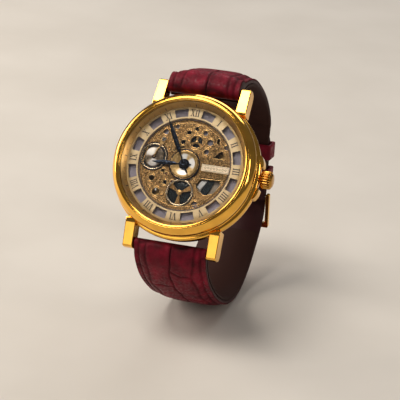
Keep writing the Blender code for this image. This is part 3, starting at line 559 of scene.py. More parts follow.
def build_bezel():
    outer = [(18.78, 7.62), (20.7, 7.62), (21.15, 7.82), (21.3, 8.2), (21.28, 8.7), (21.1, 9.25),
             (20.8, 9.8), (20.4, 10.3), (20.0, 10.7), (19.7, 10.9), (19.5, 10.95), (19.36, 10.8),
             (19.33, 9.22), (18.78, 9.22)]
    add("bezel_polished", lathe(fillet(outer, 0.3, 4), 192), gold,
        stands_for=["bezel"])
    lip = [(19.4, 10.68), (19.4, 10.93), (19.15, 10.97), (18.9, 10.92), (18.72, 10.8),
           (18.7, 10.68)]
    add("bezel_inner_lip", lathe(fillet(lip, 0.06, 2), 160), gold)


LUG_INNER_X = 11.15
LUG_OUTER_X = 14.42  # at LUG_ROOT_Y; it narrows from there to the tip
LUG_ROOT_Y = 13.2
LUG_TAPER = 0.024


def build_case():
    band = [(18.4, 1.4), (20.1, 1.4), (20.9, 1.7), (21.45, 2.2), (21.7, 2.8), (21.7, 3.6),
            (21.5, 4.0), (20.95, 4.2), (20.95, 4.35), (21.65, 4.5), (21.92, 4.8), (21.95, 5.1),
            (21.85, 5.4), (21.5, 5.65), (20.7, 5.8), (20.7, 6.0), (21.1, 6.2), (21.2, 6.45),
            (21.1, 6.75), (20.4, 6.95), (20.2, 7.3), (20.3, 7.55), (18.4, 7.55)]
    band = lathe(fillet(band, 0.12, 3), 192)
    add("case_band", band, gold, stands_for=["case_body"])
    profile = [(17.2, 6.35), (18.5, 6.3), (25.35, 4.95), (25.65, 4.5), (25.65, 2.3), (25.1, 1.1),
               (24.0, 0.7), (20.0, 1.5), (17.2, 1.9)]
    profile = fillet(profile, 0.35, 4)
    corners = [(side, end) for side in (-1, 1) for end in (-1, 1)]
    for number, (side, end) in enumerate(corners, 1):
        inner = [(side * LUG_INNER_X, end * y, z) for y, z in profile]
        outer = [(side * (LUG_OUTER_X - LUG_TAPER * (y - LUG_ROOT_Y)), end * y, z)
                 for y, z in profile]
        add(f"lug_{number}", loft([inner, outer]), gold, bevel=0.22, sharp=30)
    outline = [(20.6, 3.1), (22.25, 3.1), (22.55, 3.5), (22.3, 5.0), (21.4, 6.5), (20.2, 6.6)]
    for number, end in enumerate((-1, 1), 1):
        guard = prism(fillet([(x, end * y) for x, y in outline], 0.5, 4), [], 2.65, 5.45)
        add(f"crown_guard_{number}", guard, gold, bevel=0.4, sharp=30)


def build_crystals():
    rim = [(0, 9.25), (18.93, 9.25), (18.93, 10.4), (18.7, 10.65), (0, 10.65)]
    add("front_crystal", lathe(rim, 128), crystal_glass,
        stands_for=["crystal", "crystal_gasket"])
    add("rear_crystal", lathe([(0, 0), (11.9, 0), (11.98, 0.1), (11.98, 0.92), (0, 0.92)], 128),
        crystal_glass, stands_for=["back_crystal"])
    back = [(12.45, 0.3), (14.2, 0.3), (14.3, 0.42), (14.5, 0.42), (14.6, 0.3), (18.6, 0.3),
            (19.3, 0.42), (19.85, 0.75), (19.9, 1.33), (18.33, 1.35), (18.33, 2.9), (17.6, 2.9),
            (17.6, 1.35), (11.6, 1.35), (11.6, 1.0), (12.45, 1.0)]
    add("back_cover", lathe(fillet(back, 0.1, 3), 160), back_steel,
        stands_for=["case_back"])
    notches = []
    for k in range(6):
        notch = prism(fillet(box(-0.9, 17.4, 0.9, 19.0), 0.3, 3), [], 0.27, 0.34)
        notch.transform(Matrix.Rotation(math.radians(60 * k), 4, "Z"))
        notches.append(notch)
    add("back_key_slots", merge(notches), black)
    seal = ring(12.06, 12.4, 0.4, 0.9, 0.08, 128)
    add("back_seal", seal, matt("seal_rubber", (0.015, 0.015, 0.016), 0.6, scale=5.0),
        stands_for=["back_gasket"])


def build_rehaut():
    flange = [(17.27, 7.66), (18.68, 7.66), (18.68, 9.13), (18.52, 9.15), (18.38, 9.05)]
    add("rehaut", lathe(flange, 160), bronze, stands_for=["rehaut_ring"])
    low, high = Vector((17.27, 7.66)), Vector((18.38, 9.05))
    along = (high - low).normalized()
    out = Vector((-along.y, along.x)) * 0.015
    ticks = bmesh.new()
    for k in range(60):
        long_tick = k % 5 == 0
        start, end = (0.18, 0.95) if long_tick else (0.35, 0.85)
        half = 0.14 if long_tick else 0.05
        corners = []
        for share, side in ((start, -1), (start, 1), (end, 1), (end, -1)):
            radius, height = low + along * share * 1.1 + out
            x, y = polar(radius, 90 - 6 * k)
            across = Vector(polar(1, -6 * k))
            reach = half * side
            corners.append(ticks.verts.new((x + across.x * reach, y + across.y * reach, height)))
        ticks.faces.new(corners)
    add("minute_ticks", ticks, ink_and_shade)


# ---------- dial ----------

NUMERALS = ["XII", "I", "II", "III", "IIII", "V", "VI", "VII", "VIII", "IX", "X", "XI"]
NUMERAL_RADIUS = 15.55
NUMERAL_HEIGHT = 2.05
NUMERAL_WIDTH = 2.75  # the widest a numeral may be
STROKES = {
    "I": (0.72, [((0.36, 0), (0.36, 1), 0.30)], [0.36], [0.36]),
    "V": (1.35, [((0.66, 0.0), (0.22, 1), 0.30), ((0.72, 0.0), (1.13, 1), 0.12)], [], [0.22, 1.13]),
    "X": (1.40, [((1.12, 0), (0.28, 1), 0.30), ((0.28, 0), (1.12, 1), 0.12)], [0.28, 1.12],
          [0.28, 1.12]),
}


def build_numerals():
    bm = bmesh.new()
    for hour, text in enumerate(NUMERALS):
        width = sum(STROKES[letter][0] for letter in text)
        squeeze = min(1.0, NUMERAL_WIDTH / width)
        up = Vector(polar(1, 90 - 30 * hour))
        right = Vector((up.y, -up.x))
        cursor = -width / 2
        for letter in text:
            advance, bars, feet, heads = STROKES[letter]
            quads = []
            for (x0, y0), (x1, y1), thick in bars:
                h = thick / 2
                quads.append([(x0 - h, y0), (x0 + h, y0), (x1 + h, y1), (x1 - h, y1)])
            for level, places in ((0.0, feet), (0.93, heads)):
                quads += [box(x - 0.31, level, x + 0.31, level + 0.07) for x in places]
            for number, quad in enumerate(quads):
                flat = [right * (cursor + x) * squeeze
                        + up * (NUMERAL_RADIUS + (y - 0.5) * NUMERAL_HEIGHT) for x, y in quad]
                loft([[(*at, z) for at in flat] for z in (7.59, 7.645 + 0.004 * number)], bm)
            cursor += advance
    add("roman_numerals", bm, ink_and_shade)


def build_dial():
    windows = [sector(14.35, 16.7, 67.7 - 30 * h, 82.3 - 30 * h, 12) for h in range(12)]
    plate = prism(circle(18.15, 180), [circle(13.95, 180)] + windows, 7.2, 7.6)
    add("dial_plate", plate, champagne, stands_for=["dial_ring"], bevel=0.05)
    build_numerals()
    teeth = []
    for k in range(120):
        tooth = prism([(13.74, -0.14), (13.98, -0.17), (13.98, 0.17), (13.74, 0.14)], [], 7.35,
                      7.56)
        tooth.transform(Matrix.Rotation(math.radians(3 * k), 4, "Z"))
        teeth.append(tooth)
    add("dial_inner_teeth", merge(teeth), rim_bronze)
    add("dial_inner_groove", ring(13.45, 14.0, 7.06, 7.4, 0.02, 144), groove_brown)


# ---------- front bridge ----------

ROUND_HOLES = [((-0.7, 9.7), 0.66), ((-1.9, 6.7), 0.66), ((1.4, 11.1), 0.62), ((4.2, 10.1), 0.7),
               ((5.6, 4.7), 0.7), ((-4.6, 11.0), 0.7), ((-7.6, 9.0), 0.8), ((6.1, 7.5), 0.9),
               ((11.1, 6.6), 0.65), ((-4.6, 7.6), 0.7), ((-8.9, -5.2), 0.8), ((-6.8, -9.0), 1.1),
               ((-4.7, -5.9), 0.6), ((5.4, -11.2), 0.9), ((-6.1, -2.6), 0.5)]
BLACK_HOLES = [(-0.7, 9.7), (-1.9, 6.7), (1.4, 11.1), (-4.7, -5.9), (-4.6, 7.6)]
GREY_HOLES = [(4.2, 10.1), (5.6, 4.7), (6.1, 7.5), (11.1, 6.6), (-4.6, 11.0), (-7.6, 9.0),
              (5.4, -11.2)]
TRIANGLE = [(7.6, 3.0), (11.7, 3.0), (10.2, 5.9)]
OPENING = [(4.3, -5.4), (5.5, -3.3), (12.3, -3.1), (11.7, -5.2), (9.9, -7.4), (7.6, -8.2),
           (5.6, -7.2)]
SLIT = [(7.9, 7.4), (8.9, 7.2), (9.1, 9.1), (8.1, 9.3)]
ARC_SLOTS = [sector(5.0, 6.1, 100, 140), sector(2.7, 3.7, 195, 255)]


def build_front_bridge():
    holes = [circle(0.58, 24), circle(0.2, 12, THIRD), circle(0.2, 12, ESCAPE),
             circle(0.22, 12, PALLET), circle(0.2, 12, FOURTH), circle(3.85, 96, BALANCE)]
    holes += sectors(0.75, 3.55, 3, 26, FOURTH, 30, 16)
    holes += sectors(0.5, 1.75, 3, 30, FRONT_PETALS, 90, 10)
    holes += [circle(radius, 28, centre) for centre, radius in ROUND_HOLES]
    holes += [fillet(TRIANGLE, 0.5), fillet(OPENING, 0.8), fillet(SLIT, 0.2)] + ARC_SLOTS
    plate = prism(circle(13.8, 180), holes, 6.55, BRIDGE_TOP)
    add("bridge_plate", plate, filigree, stands_for=["front_bridge"], bevel=0.06)


GOLDEN_ANGLE = 137.508
SCROLL_TRIES = 900
SCROLL_SIZES = (0.72, 0.52, 0.38)
SCROLL_SWEEP = 480  # degrees
KEPT_CLEAR = [((0, 0), 4.8), (BALANCE, 4.3), (FOURTH, 4.3), (FRONT_PETALS, 2.5), ((8.2, -5.6), 3.6),
              ((9.2, 0.0), 3.4), ((9.9, 3.9), 1.9), ((12.2, 0.0), 3.0), ((5.6, 0), 2.4),
              ((8.5, 8.2), 1.2)]


def ball(radius, at):
    bead = bmesh.new()
    bmesh.ops.create_icosphere(bead, subdivisions=1, radius=radius)
    bead.transform(Matrix.Translation(at))
    return bead


def build_scrolls():
    """Scrolls wherever there is room for one, with a stud in each, and the beaded edge."""
    top = BRIDGE_TOP
    taken = [(centre, radius + 0.66) for centre, radius in ROUND_HOLES] + KEPT_CLEAR
    scrolls, studs = [], []
    for k in range(SCROLL_TRIES):
        turn = GOLDEN_ANGLE * k
        centre = Vector(polar(12.3 * math.sqrt((k + 0.5) / SCROLL_TRIES), turn))
        size = SCROLL_SIZES[k * len(SCROLL_SIZES) // SCROLL_TRIES]
        if any((centre - Vector(at)).length < reach + size * 0.8 for at, reach in taken):
            continue
        taken.append((centre, size * 0.9))
        studs.append(centre)
        sweep = SCROLL_SWEEP if k % 2 else -SCROLL_SWEEP
        path = []
        for i in range(17):
            share = i / 16
            spot = polar(size * (1.0 - 0.8 * share), turn + sweep * share, centre)
            path.append((*spot, top + 0.02 + 0.05 * share))
        scrolls.append((path, False))
    wires("bridge_scrolls", scrolls, 0.09, filigree_wire)
    beads = [ball(0.17, (*polar(13.15, 3 * k), top + 0.05)) for k in range(120)]
    beads += [ball(0.13, (*centre, top + 0.08)) for centre in studs]
    add("bridge_beading", merge(beads), filigree_wire, sharp=80)


def build_bridge_trim():
    """Raised rims round the openings, scrolls, ribs and the blank name plate."""
    top = BRIDGE_TOP
    rims = []
    for centre, radius in ROUND_HOLES:
        rims.append(ring(radius + 0.02, radius + 0.30, top - 0.1, top + 0.14, 0.1, 32, centre))
        rims.append(ring(radius + 0.48, radius + 0.66, top - 0.1, top + 0.10, 0.08, 32, centre))
    rims.append(ring(1.8, 2.12, top - 0.1, top + 0.16, 0.12, 48, FRONT_PETALS))
    rims.append(ring(2.3, 2.5, top - 0.1, top + 0.10, 0.08, 48, FRONT_PETALS))
    rims.append(disc(0.42, top - 0.1, top + 0.14, 0.1, 24, FRONT_PETALS))
    add("bridge_rims", merge(rims), rim_bronze)
    outlines = [fillet(shape, 0.6) for shape in (TRIANGLE, OPENING, SLIT)] + ARC_SLOTS
    outlines.append(circle(12.55, 120))
    outlines = [([(*point, top + 0.03) for point in shape], True) for shape in outlines]
    wires("bridge_outlines", outlines, 0.12, rim_bronze)
    build_scrolls()

    ribs = []
    for side in (-1, 1):
        for k in range(4):
            y = side * (1.30 + 0.45 * k)
            rib = fillet(box(4.85, y - 0.15, 13.2 - 0.1 * k, y + 0.15), 0.1, 2)
            ribs.append(prism(rib, [], top - 0.05, top + 0.22))
    add("name_plate_ribs", merge(ribs), rib_brown, bevel=0.07)
    plate = prism(fillet(box(5.2, -0.98, 13.5, 0.98), 0.15, 3), [], top - 0.05, 7.34)
    add("blank_name_plate", plate, enamel, stands_for=["name_plate"], bevel=0.06)
    motif = [box(5.45, -0.74, 13.25, 0.74)]
    for k in range(8):
        x = 6.35 + 0.86 * k
        motif.append([(x - 0.3, 0), (x, 0.34), (x + 0.3, 0), (x, -0.34)])
    motif = [([(*point, 7.35) for point in shape], True) for shape in motif]
    wires("name_plate_ornament", motif, 0.055, ink_and_shade)


def build_sub_dials():
    """The rings and dished plates at the balance, the centre and the lower wheel."""
    top = BRIDGE_TOP
    for name, inner, outer, low, high, edge, centre, look in (
            ("balance_ring", 3.62, 3.95, -0.2, 0.22, 0.14, BALANCE, pale_rim),
            ("balance_outer_ring", 3.98, 4.28, -0.1, 0.12, 0.05, BALANCE, blued),
            # Painted shadow: a dark ring set just inside the balance ring
            ("balance_shadow_ring", 3.28, 3.62, -0.42, -0.12, 0.03, BALANCE, ink_and_shade),
            ("balance_inner_ring", 3.02, 3.26, -0.3, 0.08, 0.1, BALANCE, blued),
            ("lower_wheel_ring", 3.55, 3.98, -0.12, 0.2, 0.16, FOURTH, pale_rim)):
        add(name, ring(inner, outer, top + low, top + high, edge, 96, centre), look)
    lines = [ring(4.0, 4.16, top - 0.1, top + 0.08, 0.03, 96, FOURTH),
             disc(3.5, 6.41, 6.47, 0.02, 48, FOURTH)]
    add("lower_wheel_dark", merge(lines), black)
    hub = [disc(0.8, top - 0.05, top + 0.16, 0.08, 32, FOURTH),
           disc(0.36, top + 0.1, top + 0.3, 0.08, 24, FOURTH)]
    add("lower_wheel_hub", merge(hub), filigree_wire)
    dish = [(1.25, 7.69), (3.75, 7.69), (3.92, 7.74), (3.95, 7.83), (3.86, 7.86), (3.6, 7.80),
            (1.5, 7.72), (1.25, 7.72)]
    # Painted highlights: light wedges at 18, 268 and 98 degrees in the centre dish's colour
    dish_highlights = painted_highlight_dish("centre_dish_painted_highlights", (0.20, 0.125, 0.045), (0.46, 0.31, 0.13), (0.60, 0.59, 0.57),
                   [(18, 12), (268, 14), (98, 40)], 3.15)
    add("centre_dish", lathe(dish, 128), dish_highlights)
    add("centre_gold_ring", ring(3.98, 4.26, 7.1, 7.62, 0.12, 128), rim_bronze)
    add("centre_dark_ring", ring(4.28, 4.62, 7.08, 7.52, 0.15, 128), blued,
        stands_for=["centre_ring"])
    backs = [disc(0.98, 6.3, 6.42, 0.02, 24, centre) for centre in GREY_HOLES]
    add("grey_inlays", merge(backs), lavender)
    backs = [disc(0.9, 6.38, 6.48, 0.02, 24, centre) for centre in BLACK_HOLES]
    backs.append(disc(1.9, 6.38, 6.48, 0.02, 32, FRONT_PETALS))
    add("black_inlays", merge(backs), black)
    floor = [(4.4, -5.5), (5.6, -3.4), (12.2, -3.2), (11.6, -5.2), (9.8, -7.3), (7.6, -8.1),
             (5.7, -7.1)]
    leaf_plate = [(4.6, -5.6), (6.0, -3.6), (7.6, -3.5), (5.8, -6.4)]
    drum = [(6.0, -6.9), (7.6, -3.5), (9.7, -3.4), (8.2, -7.9), (7.2, -7.9)]
    for name, shape, corner, low, high, look, bevel in (
            ("window_floor", floor, 0.5, 6.05, 6.1, window_brown, 0.0),
            ("window_silver", leaf_plate, 0.25, 6.12, 6.3, window_silver, 0.05),
            ("window_drum", drum, 0.3, 6.2, 6.42, black, 0.12)):
        add(name, prism(fillet(shape, corner), [], low, high), look, bevel=bevel)


def build_jewels():
    stones, settings = [], []
    for centre in (THIRD, ESCAPE, PALLET):
        settings.append(ring(0.42, 0.72, BRIDGE_TOP - 0.05, BRIDGE_TOP + 0.12, 0.05, 28, centre))
        stones.append(ring(0.14, 0.42, BRIDGE_TOP - 0.1, BRIDGE_TOP + 0.05, 0.05, 24, centre))
    add("jewel_settings", merge(settings), filigree_wire)
    add("pivot_jewels", merge(stones), garnet)


# ---------- balance ----------

def build_balance():
    rim = prism(circle(3.55, 120, BALANCE), sectors(0.6, 3.1, 3, 16, BALANCE, 90, 20), 5.95, 6.3)
    staff = lathe([(0, 4.72), (0.12, 4.72), (0.12, 5.2), (0.22, 5.26), (0.22, 5.55), (1.0, 5.6),
                   (1.0, 5.72), (0.22, 5.76), (0.22, 7.0), (0.12, 7.06), (0.12, 7.33),
                   (0, 7.35)], 32, BALANCE)
    pin = disc(0.12, 5.3, 5.65, 0.03, 12, polar(0.75, 316.5, BALANCE))
    screws = []
    for k in range(12):
        screw = disc(0.16, 0, 0.2, 0.03, 12)
        screw.transform(Matrix.Translation((*polar(3.3, 30 * k + 15, BALANCE), 6.25)))
        screws.append(screw)
    add("balance_rim", merge([rim, staff, pin] + screws),
        polished("balance_gold", (0.74, 0.52, 0.22), 0.2),
        body="balance", stands_for=["balance_wheel"], bevel=0.03)
    dish = [(0.26, 6.78), (2.84, 6.78), (2.96, 6.84), (2.96, 6.92), (2.86, 6.94), (0.5, 6.88),
            (0.26, 6.88)]
    # Painted highlights: two opposite light wedges in the balance dish's colour
    dish_highlights = painted_highlight_dish("balance_dish_painted_highlights", (0.06, 0.045, 0.03), (0.22, 0.16, 0.11), (0.52, 0.49, 0.45),
                   [(128, 9), (272, 10)], 2.7, BALANCE)
    add("balance_dish", lathe(dish, 96, BALANCE), dish_highlights, body="balance")
    hub = lathe([(0.24, 6.9), (0.62, 6.9), (0.62, 7.0), (0.5, 7.05), (0.24, 7.05)], 32, BALANCE)
    add("balance_hub", hub, blued, body="balance")
    foot, tip = Vector((-7.7, 6.6)), Vector(BALANCE)
    along = (tip - foot).normalized()
    across = Vector((-along.y, along.x))
    sides = [(0.0, 0.85), (1.4, 0.5), (2.4, 0.17), (5.0, 0.15), (5.9, 0.42)]
    outline = [foot + along * a + across * w for a, w in sides]
    outline += [foot + along * a - across * w for a, w in reversed(sides)]
    outline += [foot - along * 0.9 - across * 0.6, foot - along * 0.9 + across * 0.6]
    arm = prism(fillet(outline, 0.4), [circle(0.2, 12, BALANCE), circle(0.35, 16, foot)], 7.09,
                7.38)
    add("cock_arm", arm, filigree_wire, stands_for=["balance_cock"], bevel=0.06)
    add("cock_jewel", ring(0.14, 0.34, 7.36, 7.44, 0.03, 24, BALANCE), garnet)


# ---------- hands ----------

def blade(stations, low, shoulder, high):
    """A faceted blade along +X from (distance, half width) stations, ridged along its middle."""
    return loft([[(x, -half, low), (x, half, low), (x, half, shoulder), (x, 0.0, high),
                  (x, -half, shoulder)] for x, half in stations])


def leaf(length, width, tail):
    """Half widths of a leaf hand: a tail, a slim neck and the leaf with its point."""
    stations = [(-tail, 0.12), (-0.75 * tail, 0.3), (-0.3 * tail, 0.22), (0.16 * length, 0.22)]
    for k in range(15):
        share = k / 14
        bulge = math.sin(math.pi * share ** 0.9) ** 0.85
        stations.append((length * (0.22 + 0.74 * share), 0.16 + (width / 2 - 0.16) * bulge))
    return stations + [(length, 0.03)]


def build_hands():
    for name, length, width, tail, hub, bore, angle, plane in (
            ("hour", 9.7, 1.3, 2.2, 1.6, 0.75, HOUR_ANGLE, (7.87, 7.95, 8.04)),
            ("minute", 14.4, 1.36, 3.0, 1.05, 0.51, MINUTE_ANGLE, (8.30, 8.38, 8.48))):
        hand = merge([blade(leaf(length, width, tail), *plane),
                      ring(bore, hub, plane[0], plane[2], 0.06, 48)])
        hand.transform(Matrix.Rotation(math.radians(90 - angle), 4, "Z"))
        add(f"{name}_leaf", hand, blued, body=f"{name}_hand",
            stands_for=[f"{name}_hand"], sharp=12)
    cap = [(0.0, 8.5), (1.0, 8.5), (1.0, 8.68), (0.85, 8.84), (0.6, 8.9), (0.45, 8.82), (0, 8.82)]
    add("hand_cap", lathe(cap, 48), blued, body="minute_hand")


# ---------- crown ----------

FLUTES = 20
FLUTE_DEPTH = 0.62
CROWN_STEPS = 240


def build_crown():
    # Distance along the stem, radius, and share of the flutes' depth
    stations = [(22.15, 2.0, 0.0), (22.22, 2.3, 0.5), (22.4, 2.5, 1.0), (22.6, 2.62, 1.0),
                (24.6, 2.64, 1.0), (24.95, 2.55, 1.0), (25.1, 2.4, 0.6), (25.2, 2.2, 0.0),
                (25.3, 1.95, 0.0), (25.5, 1.85, 0.0), (25.62, 1.5, 0.0), (25.7, 0.8, 0.0)]
    rows = []
    for x, radius, depth in stations:
        row = []
        for k in range(CROWN_STEPS):
            angle = math.tau * k / CROWN_STEPS
            wave = abs(math.cos(FLUTES * angle / 2)) ** 0.6
            reach = radius - FLUTE_DEPTH * depth * (1 - wave)
            row.append((x, reach * math.cos(angle), STEM_Z + reach * math.sin(angle)))
        rows.append(row)
    add("fluted_crown", loft(rows), crown_gold, body="crown_stem",
        stands_for=["crown"], sharp=50)
    tube = ring(0.5, 1.15, 18.45, 22.4, 0.05, 48)
    tube.transform(Matrix.Translation((0, 0, STEM_Z)) @ Matrix.Rotation(math.radians(90), 4, "Y"))
    add("stem_tube", tube, gold, stands_for=["crown_tube"])


# ---------- strap ----------

REAR_START = Vector((10.0, -53.6))
REAR_LENGTH = 21.95
REAR_ALONG = Vector((0.8654, 0.5010)).normalized()
REAR_OUT = Vector((REAR_ALONG.y, -REAR_ALONG.x))
TAIL_LIFT = 2.7
TAIL_THICKNESS = 1.9
LINING = 0.9


def rear(along, out=0.0):
    return REAR_START + REAR_ALONG * along + REAR_OUT * out


UPPER_PATH = [(22.4, 0.53), (25.6, 0.2), (29.2, -4.6), (31.8, -12), (32.9, -21), (32.8, -30.5),
              (31.3, -38), rear(REAR_LENGTH), rear(REAR_LENGTH - 2), rear(1.0), rear(-1.2),
              rear(-3.4)]
LOWER_PATH = [(-22.3, 1.45), (-25.9, 0.7), (-29.4, -5.1), (-31.3, -13.9), (-31.7, -24),
              (-29.9, -34.9), (-24.9, -44.8), (-17.0, -51.6), (-7.2, -56.1), (-2.0, -57.9),
              (3.0, -58.9)]
LOWER_PATH += [rear(along, TAIL_LIFT) for along in (-3.9, -2.3, 0.5, REAR_LENGTH - 3,
                                                    REAR_LENGTH - 1)]
BUCKLE_HINGE = rear(-2.3, 1.77)
BUCKLE_FRONT = Vector((0.9, -62.0))
NOSE = 1.9  # length of the rounded end over the spring bar
STRAP_STEP = 0.36
ACROSS = 64  # steps across the strap
BORDER_WIDTH = 1.75
LAYER_GAP = 0.03  # between the leather and its lining
STITCH_START, STITCH_PITCH, STITCH_INSET = 10.5, 2.15, 1.15


def near(value, width):
    return math.exp(-(value / width) ** 2)


def scales(s, x, half, seed):
    """How far inside a crease of the embossed scales a point of the strap is, from 0 to 1."""
    wander = 0.5 + 0.5 * math.sin(0.23 * s + seed) + 0.2 * math.sin(0.81 * s + 2 * seed)
    centre = abs(x - wander)
    side = abs(x - 0.4 * wander)
    flank = abs(side - 0.64 * half - 0.35 * math.sin(0.5 * s + 3 * seed))
    lengthwise = max(near(centre, 0.24), 0.6 * near(flank, 0.34))
    if side < 0.64 * half:
        length, shift, depth = 17.0, 0.0 if x < wander else 7.3, 0.6
    else:
        length, shift, depth = 9.5, 1.1 if x < 0 else 4.2, 0.35
    bow = 0.8 * math.sin(0.42 * x + seed) + 0.3 * math.sin(1.4 * x + s * 0.1)
    along = (s + shift + bow + seed) % length
    return max(lengthwise, depth * near(min(along, length - along), 0.34))


def strap(name, path, turn, bottom, high, relief_of, seed, flat, stands_for, tip=0.0, holes=()):
    """A padded strap half: a crowned, embossed pad between stitched borders."""
    points, length = spline(path, STRAP_STEP)
    rows, creases = [], []
    swell = math.inf
    for i, point in enumerate(points):
        s = length * i / (len(points) - 1)
        tangent = points[min(i + 3, len(points) - 1)] - points[max(i - 3, 0)]
        normal = Vector((-tangent.y, tangent.x)).normalized() * turn
        half, top = strap_half_width(s / length), high(s / length)
        if tip and s > length - tip:
            half *= math.sqrt(max(0.002, 1 - ((s - length + tip) / tip) ** 2.4))
        edge = bottom + (0.52 + 0.38 / (1 + math.exp((s - flat) / 0.35))) * (top - bottom)
        border = max(0.3, half - BORDER_WIDTH)
        section = []
        for j in range(ACROSS + 1):
            x = (-1 + 2 * j / ACROSS) * (half - 0.12)
            inside = min(1.0, abs(x) / border)
            height = edge + (top - edge) * math.sqrt(max(0.0, 1 - inside ** 3.2))
            # The crease value both dents the pad and darkens its colour: painted shade in the
            # embossed creases, the stitch grooves and the holes
            crease = scales(s, x, half, seed) * relief_of(s)
            # Round the nose, a crease lies where the way along equals the last row's swell
            nose = near(s - swell - 0.5 * math.sin(0.5 * x), 0.3) * (abs(x) < border)
            crease = max(crease, 0.8 * nose)
            if abs(x) < border + 0.5:
                height -= 0.34 * crease + 0.16 * near(abs(x) - border - 0.1, 0.35)
            height += 0.05 * math.sin(1.9 * x + 0.8 * math.sin(s)) * near(s - 3.0, 2.0)
            crease = max(crease, 0.5 * near(abs(x) - border - 0.1, 0.3))
            for at, radius in holes:
                depth = near(math.hypot(s - at, x), radius) if abs(s - at) < 3 * radius else 0.0
                height -= 1.1 * depth
                crease = max(crease, 1.6 * depth)
            section.append((x, height, crease))
        rim = min(0.5, 0.35 * (edge - bottom))
        waist = 0.5 * (edge + bottom)
        section += [(half, edge - rim, 0.9), (half + 0.02, waist, 1.0), (half, bottom + rim, 1.0),
                    (half - 0.25, bottom, 1.0), (-half + 0.25, bottom, 1.0),
                    (-half, bottom + rim, 1.0), (-half - 0.02, waist, 1.0),
                    (-half, edge - rim, 0.9)]
        middle = 0.5 * (bottom + top)
        swell = math.sqrt(max(0.01, 1 - (1 - min(1.0, s / NOSE)) ** 2))
        row = []
        for x, height, crease in section:
            at = point + normal * (middle + (height - middle) * swell)
            row.append((x, *at))
            creases.append(crease)
        rows.append(row)
    bm = loft(rows)
    layer = bm.verts.layers.float.new("crease")
    for vert, crease in zip(bm.verts, creases):
        vert[layer] = crease
    count, caps = len(rows[0]), len(bm.faces) - 2
    for number, face in enumerate(bm.faces):
        face.material_index = 1 if number >= caps or number % count > ACROSS + 1 else 0
    piece = add(name, bm, burgundy, stands_for=stands_for, sharp=60)
    piece.data.materials.append(edge_paint)


def stitches(name, path, turn, height_of, end):
    """A row of thread stitches along each border."""
    points, length = spline(path, 0.5)
    bodies = []
    for side in (-1, 1):
        at = STITCH_START
        while at < end:
            share = at / length
            i = min(len(points) - 2, max(1, round(share * (len(points) - 1))))
            tangent = (points[i + 1] - points[i - 1]).normalized()
            normal = Vector((-tangent.y, tangent.x)) * turn
            centre = points[i] + normal * height_of(share)
            bead = bmesh.new()
            bmesh.ops.create_icosphere(bead, subdivisions=2, radius=1.0)
            bead.transform(Matrix.Diagonal((0.17, 0.72, 0.15, 1)))
            bead.transform(seated(tangent, normal, centre,
                                  side * (strap_half_width(share) - STITCH_INSET)))
            bodies.append(bead)
            at += STITCH_PITCH
    add(name, merge(bodies), thread, sharp=80)


def flat_band(name, path, turn, low, high, kept, stands_for):
    """The lining: a flat layer with rounded edges, along a share of the strap's path."""
    points, _ = spline(path, 0.8)
    points = points[:round(kept * len(points))]
    rows = []
    for i, point in enumerate(points):
        tangent = points[min(i + 1, len(points) - 1)] - points[max(i - 1, 0)]
        normal = Vector((-tangent.y, tangent.x)).normalized() * turn
        half = strap_half_width(i / (len(points) - 1) * kept)
        section = [(-half + 0.2, low), (half - 0.2, low), (half, low + 0.2), (half, high - 0.1),
                   (-half, high - 0.1), (-half, low + 0.2)]
        rows.append([(x, *(point + normal * height)) for x, height in section])
    add(name, loft(rows), lining, stands_for=stands_for, sharp=50)


def strap_half_width(share):
    return 11.0 - 2.0 * min(1.0, share * 1.3)


def upper_top(share):
    return 4.2 - 1.6 * min(1.0, share * 1.8) + 2.0 * near(share - 0.02, 0.05)


def lower_top(share):
    return 3.2 - (3.2 - TAIL_THICKNESS) * min(1.0, share * 2.2) + 0.9 * near(share - 0.015, 0.035)


def fade(start, end, low):
    """Full relief up to start, easing to low at end."""
    return lambda s: 1.0 - (1.0 - low) * min(1.0, max(0.0, (s - start) / (end - start)))


def build_straps():
    strap("strap_upper_padded", UPPER_PATH, 1, LINING + LAYER_GAP, upper_top, fade(40, 52, 0.25),
          0.7, 4.0, ["strap_upper"])
    holes = [(97.0 + 6.5 * k, 0.62) for k in range(4)]
    strap("strap_lower_padded", LOWER_PATH, -1, 0.0, lower_top, fade(52, 66, 0.3), 2.3, 2.2,
          ["strap_lower"], tip=6.0, holes=holes)
    stitches("stitches_upper", UPPER_PATH, 1,
             lambda q: LINING + 0.52 * (upper_top(q) - LINING) + 0.02, 60.0)
    stitches("stitches_lower", LOWER_PATH, -1, lambda q: 0.52 * lower_top(q) + 0.02, 88.0)
    flat_band("lining_upper_smooth", UPPER_PATH, 1, 0.0, LINING, 0.94, ["lining_upper"])
    flat_band("lining_lower_smooth", LOWER_PATH, -1, -LINING - LAYER_GAP, -LAYER_GAP, 0.68,
              ["lining_lower"])


def build_keepers():
    low, high, wall = -0.06, TAIL_LIFT + TAIL_THICKNESS + 0.1, 0.85
    for name, node, body, at, length in (
            ("keeper_fixed", "fixed_keeper", "case", rear(5.0), 4.6),
            ("keeper_free", "free_keeper", "free_keeper", rear(13.0), 5.0)):
        outline = fillet(box(-10.3, low - wall, 10.3, high + wall), 0.9)
        loop = prism(outline, [fillet(box(-9.38, low, 9.38, high), 0.5)], -length / 2, length / 2)
        loop.transform(seated(REAR_OUT, REAR_ALONG, at))
        add(name, loop, burgundy, body=body, stands_for=[node], bevel=0.28)


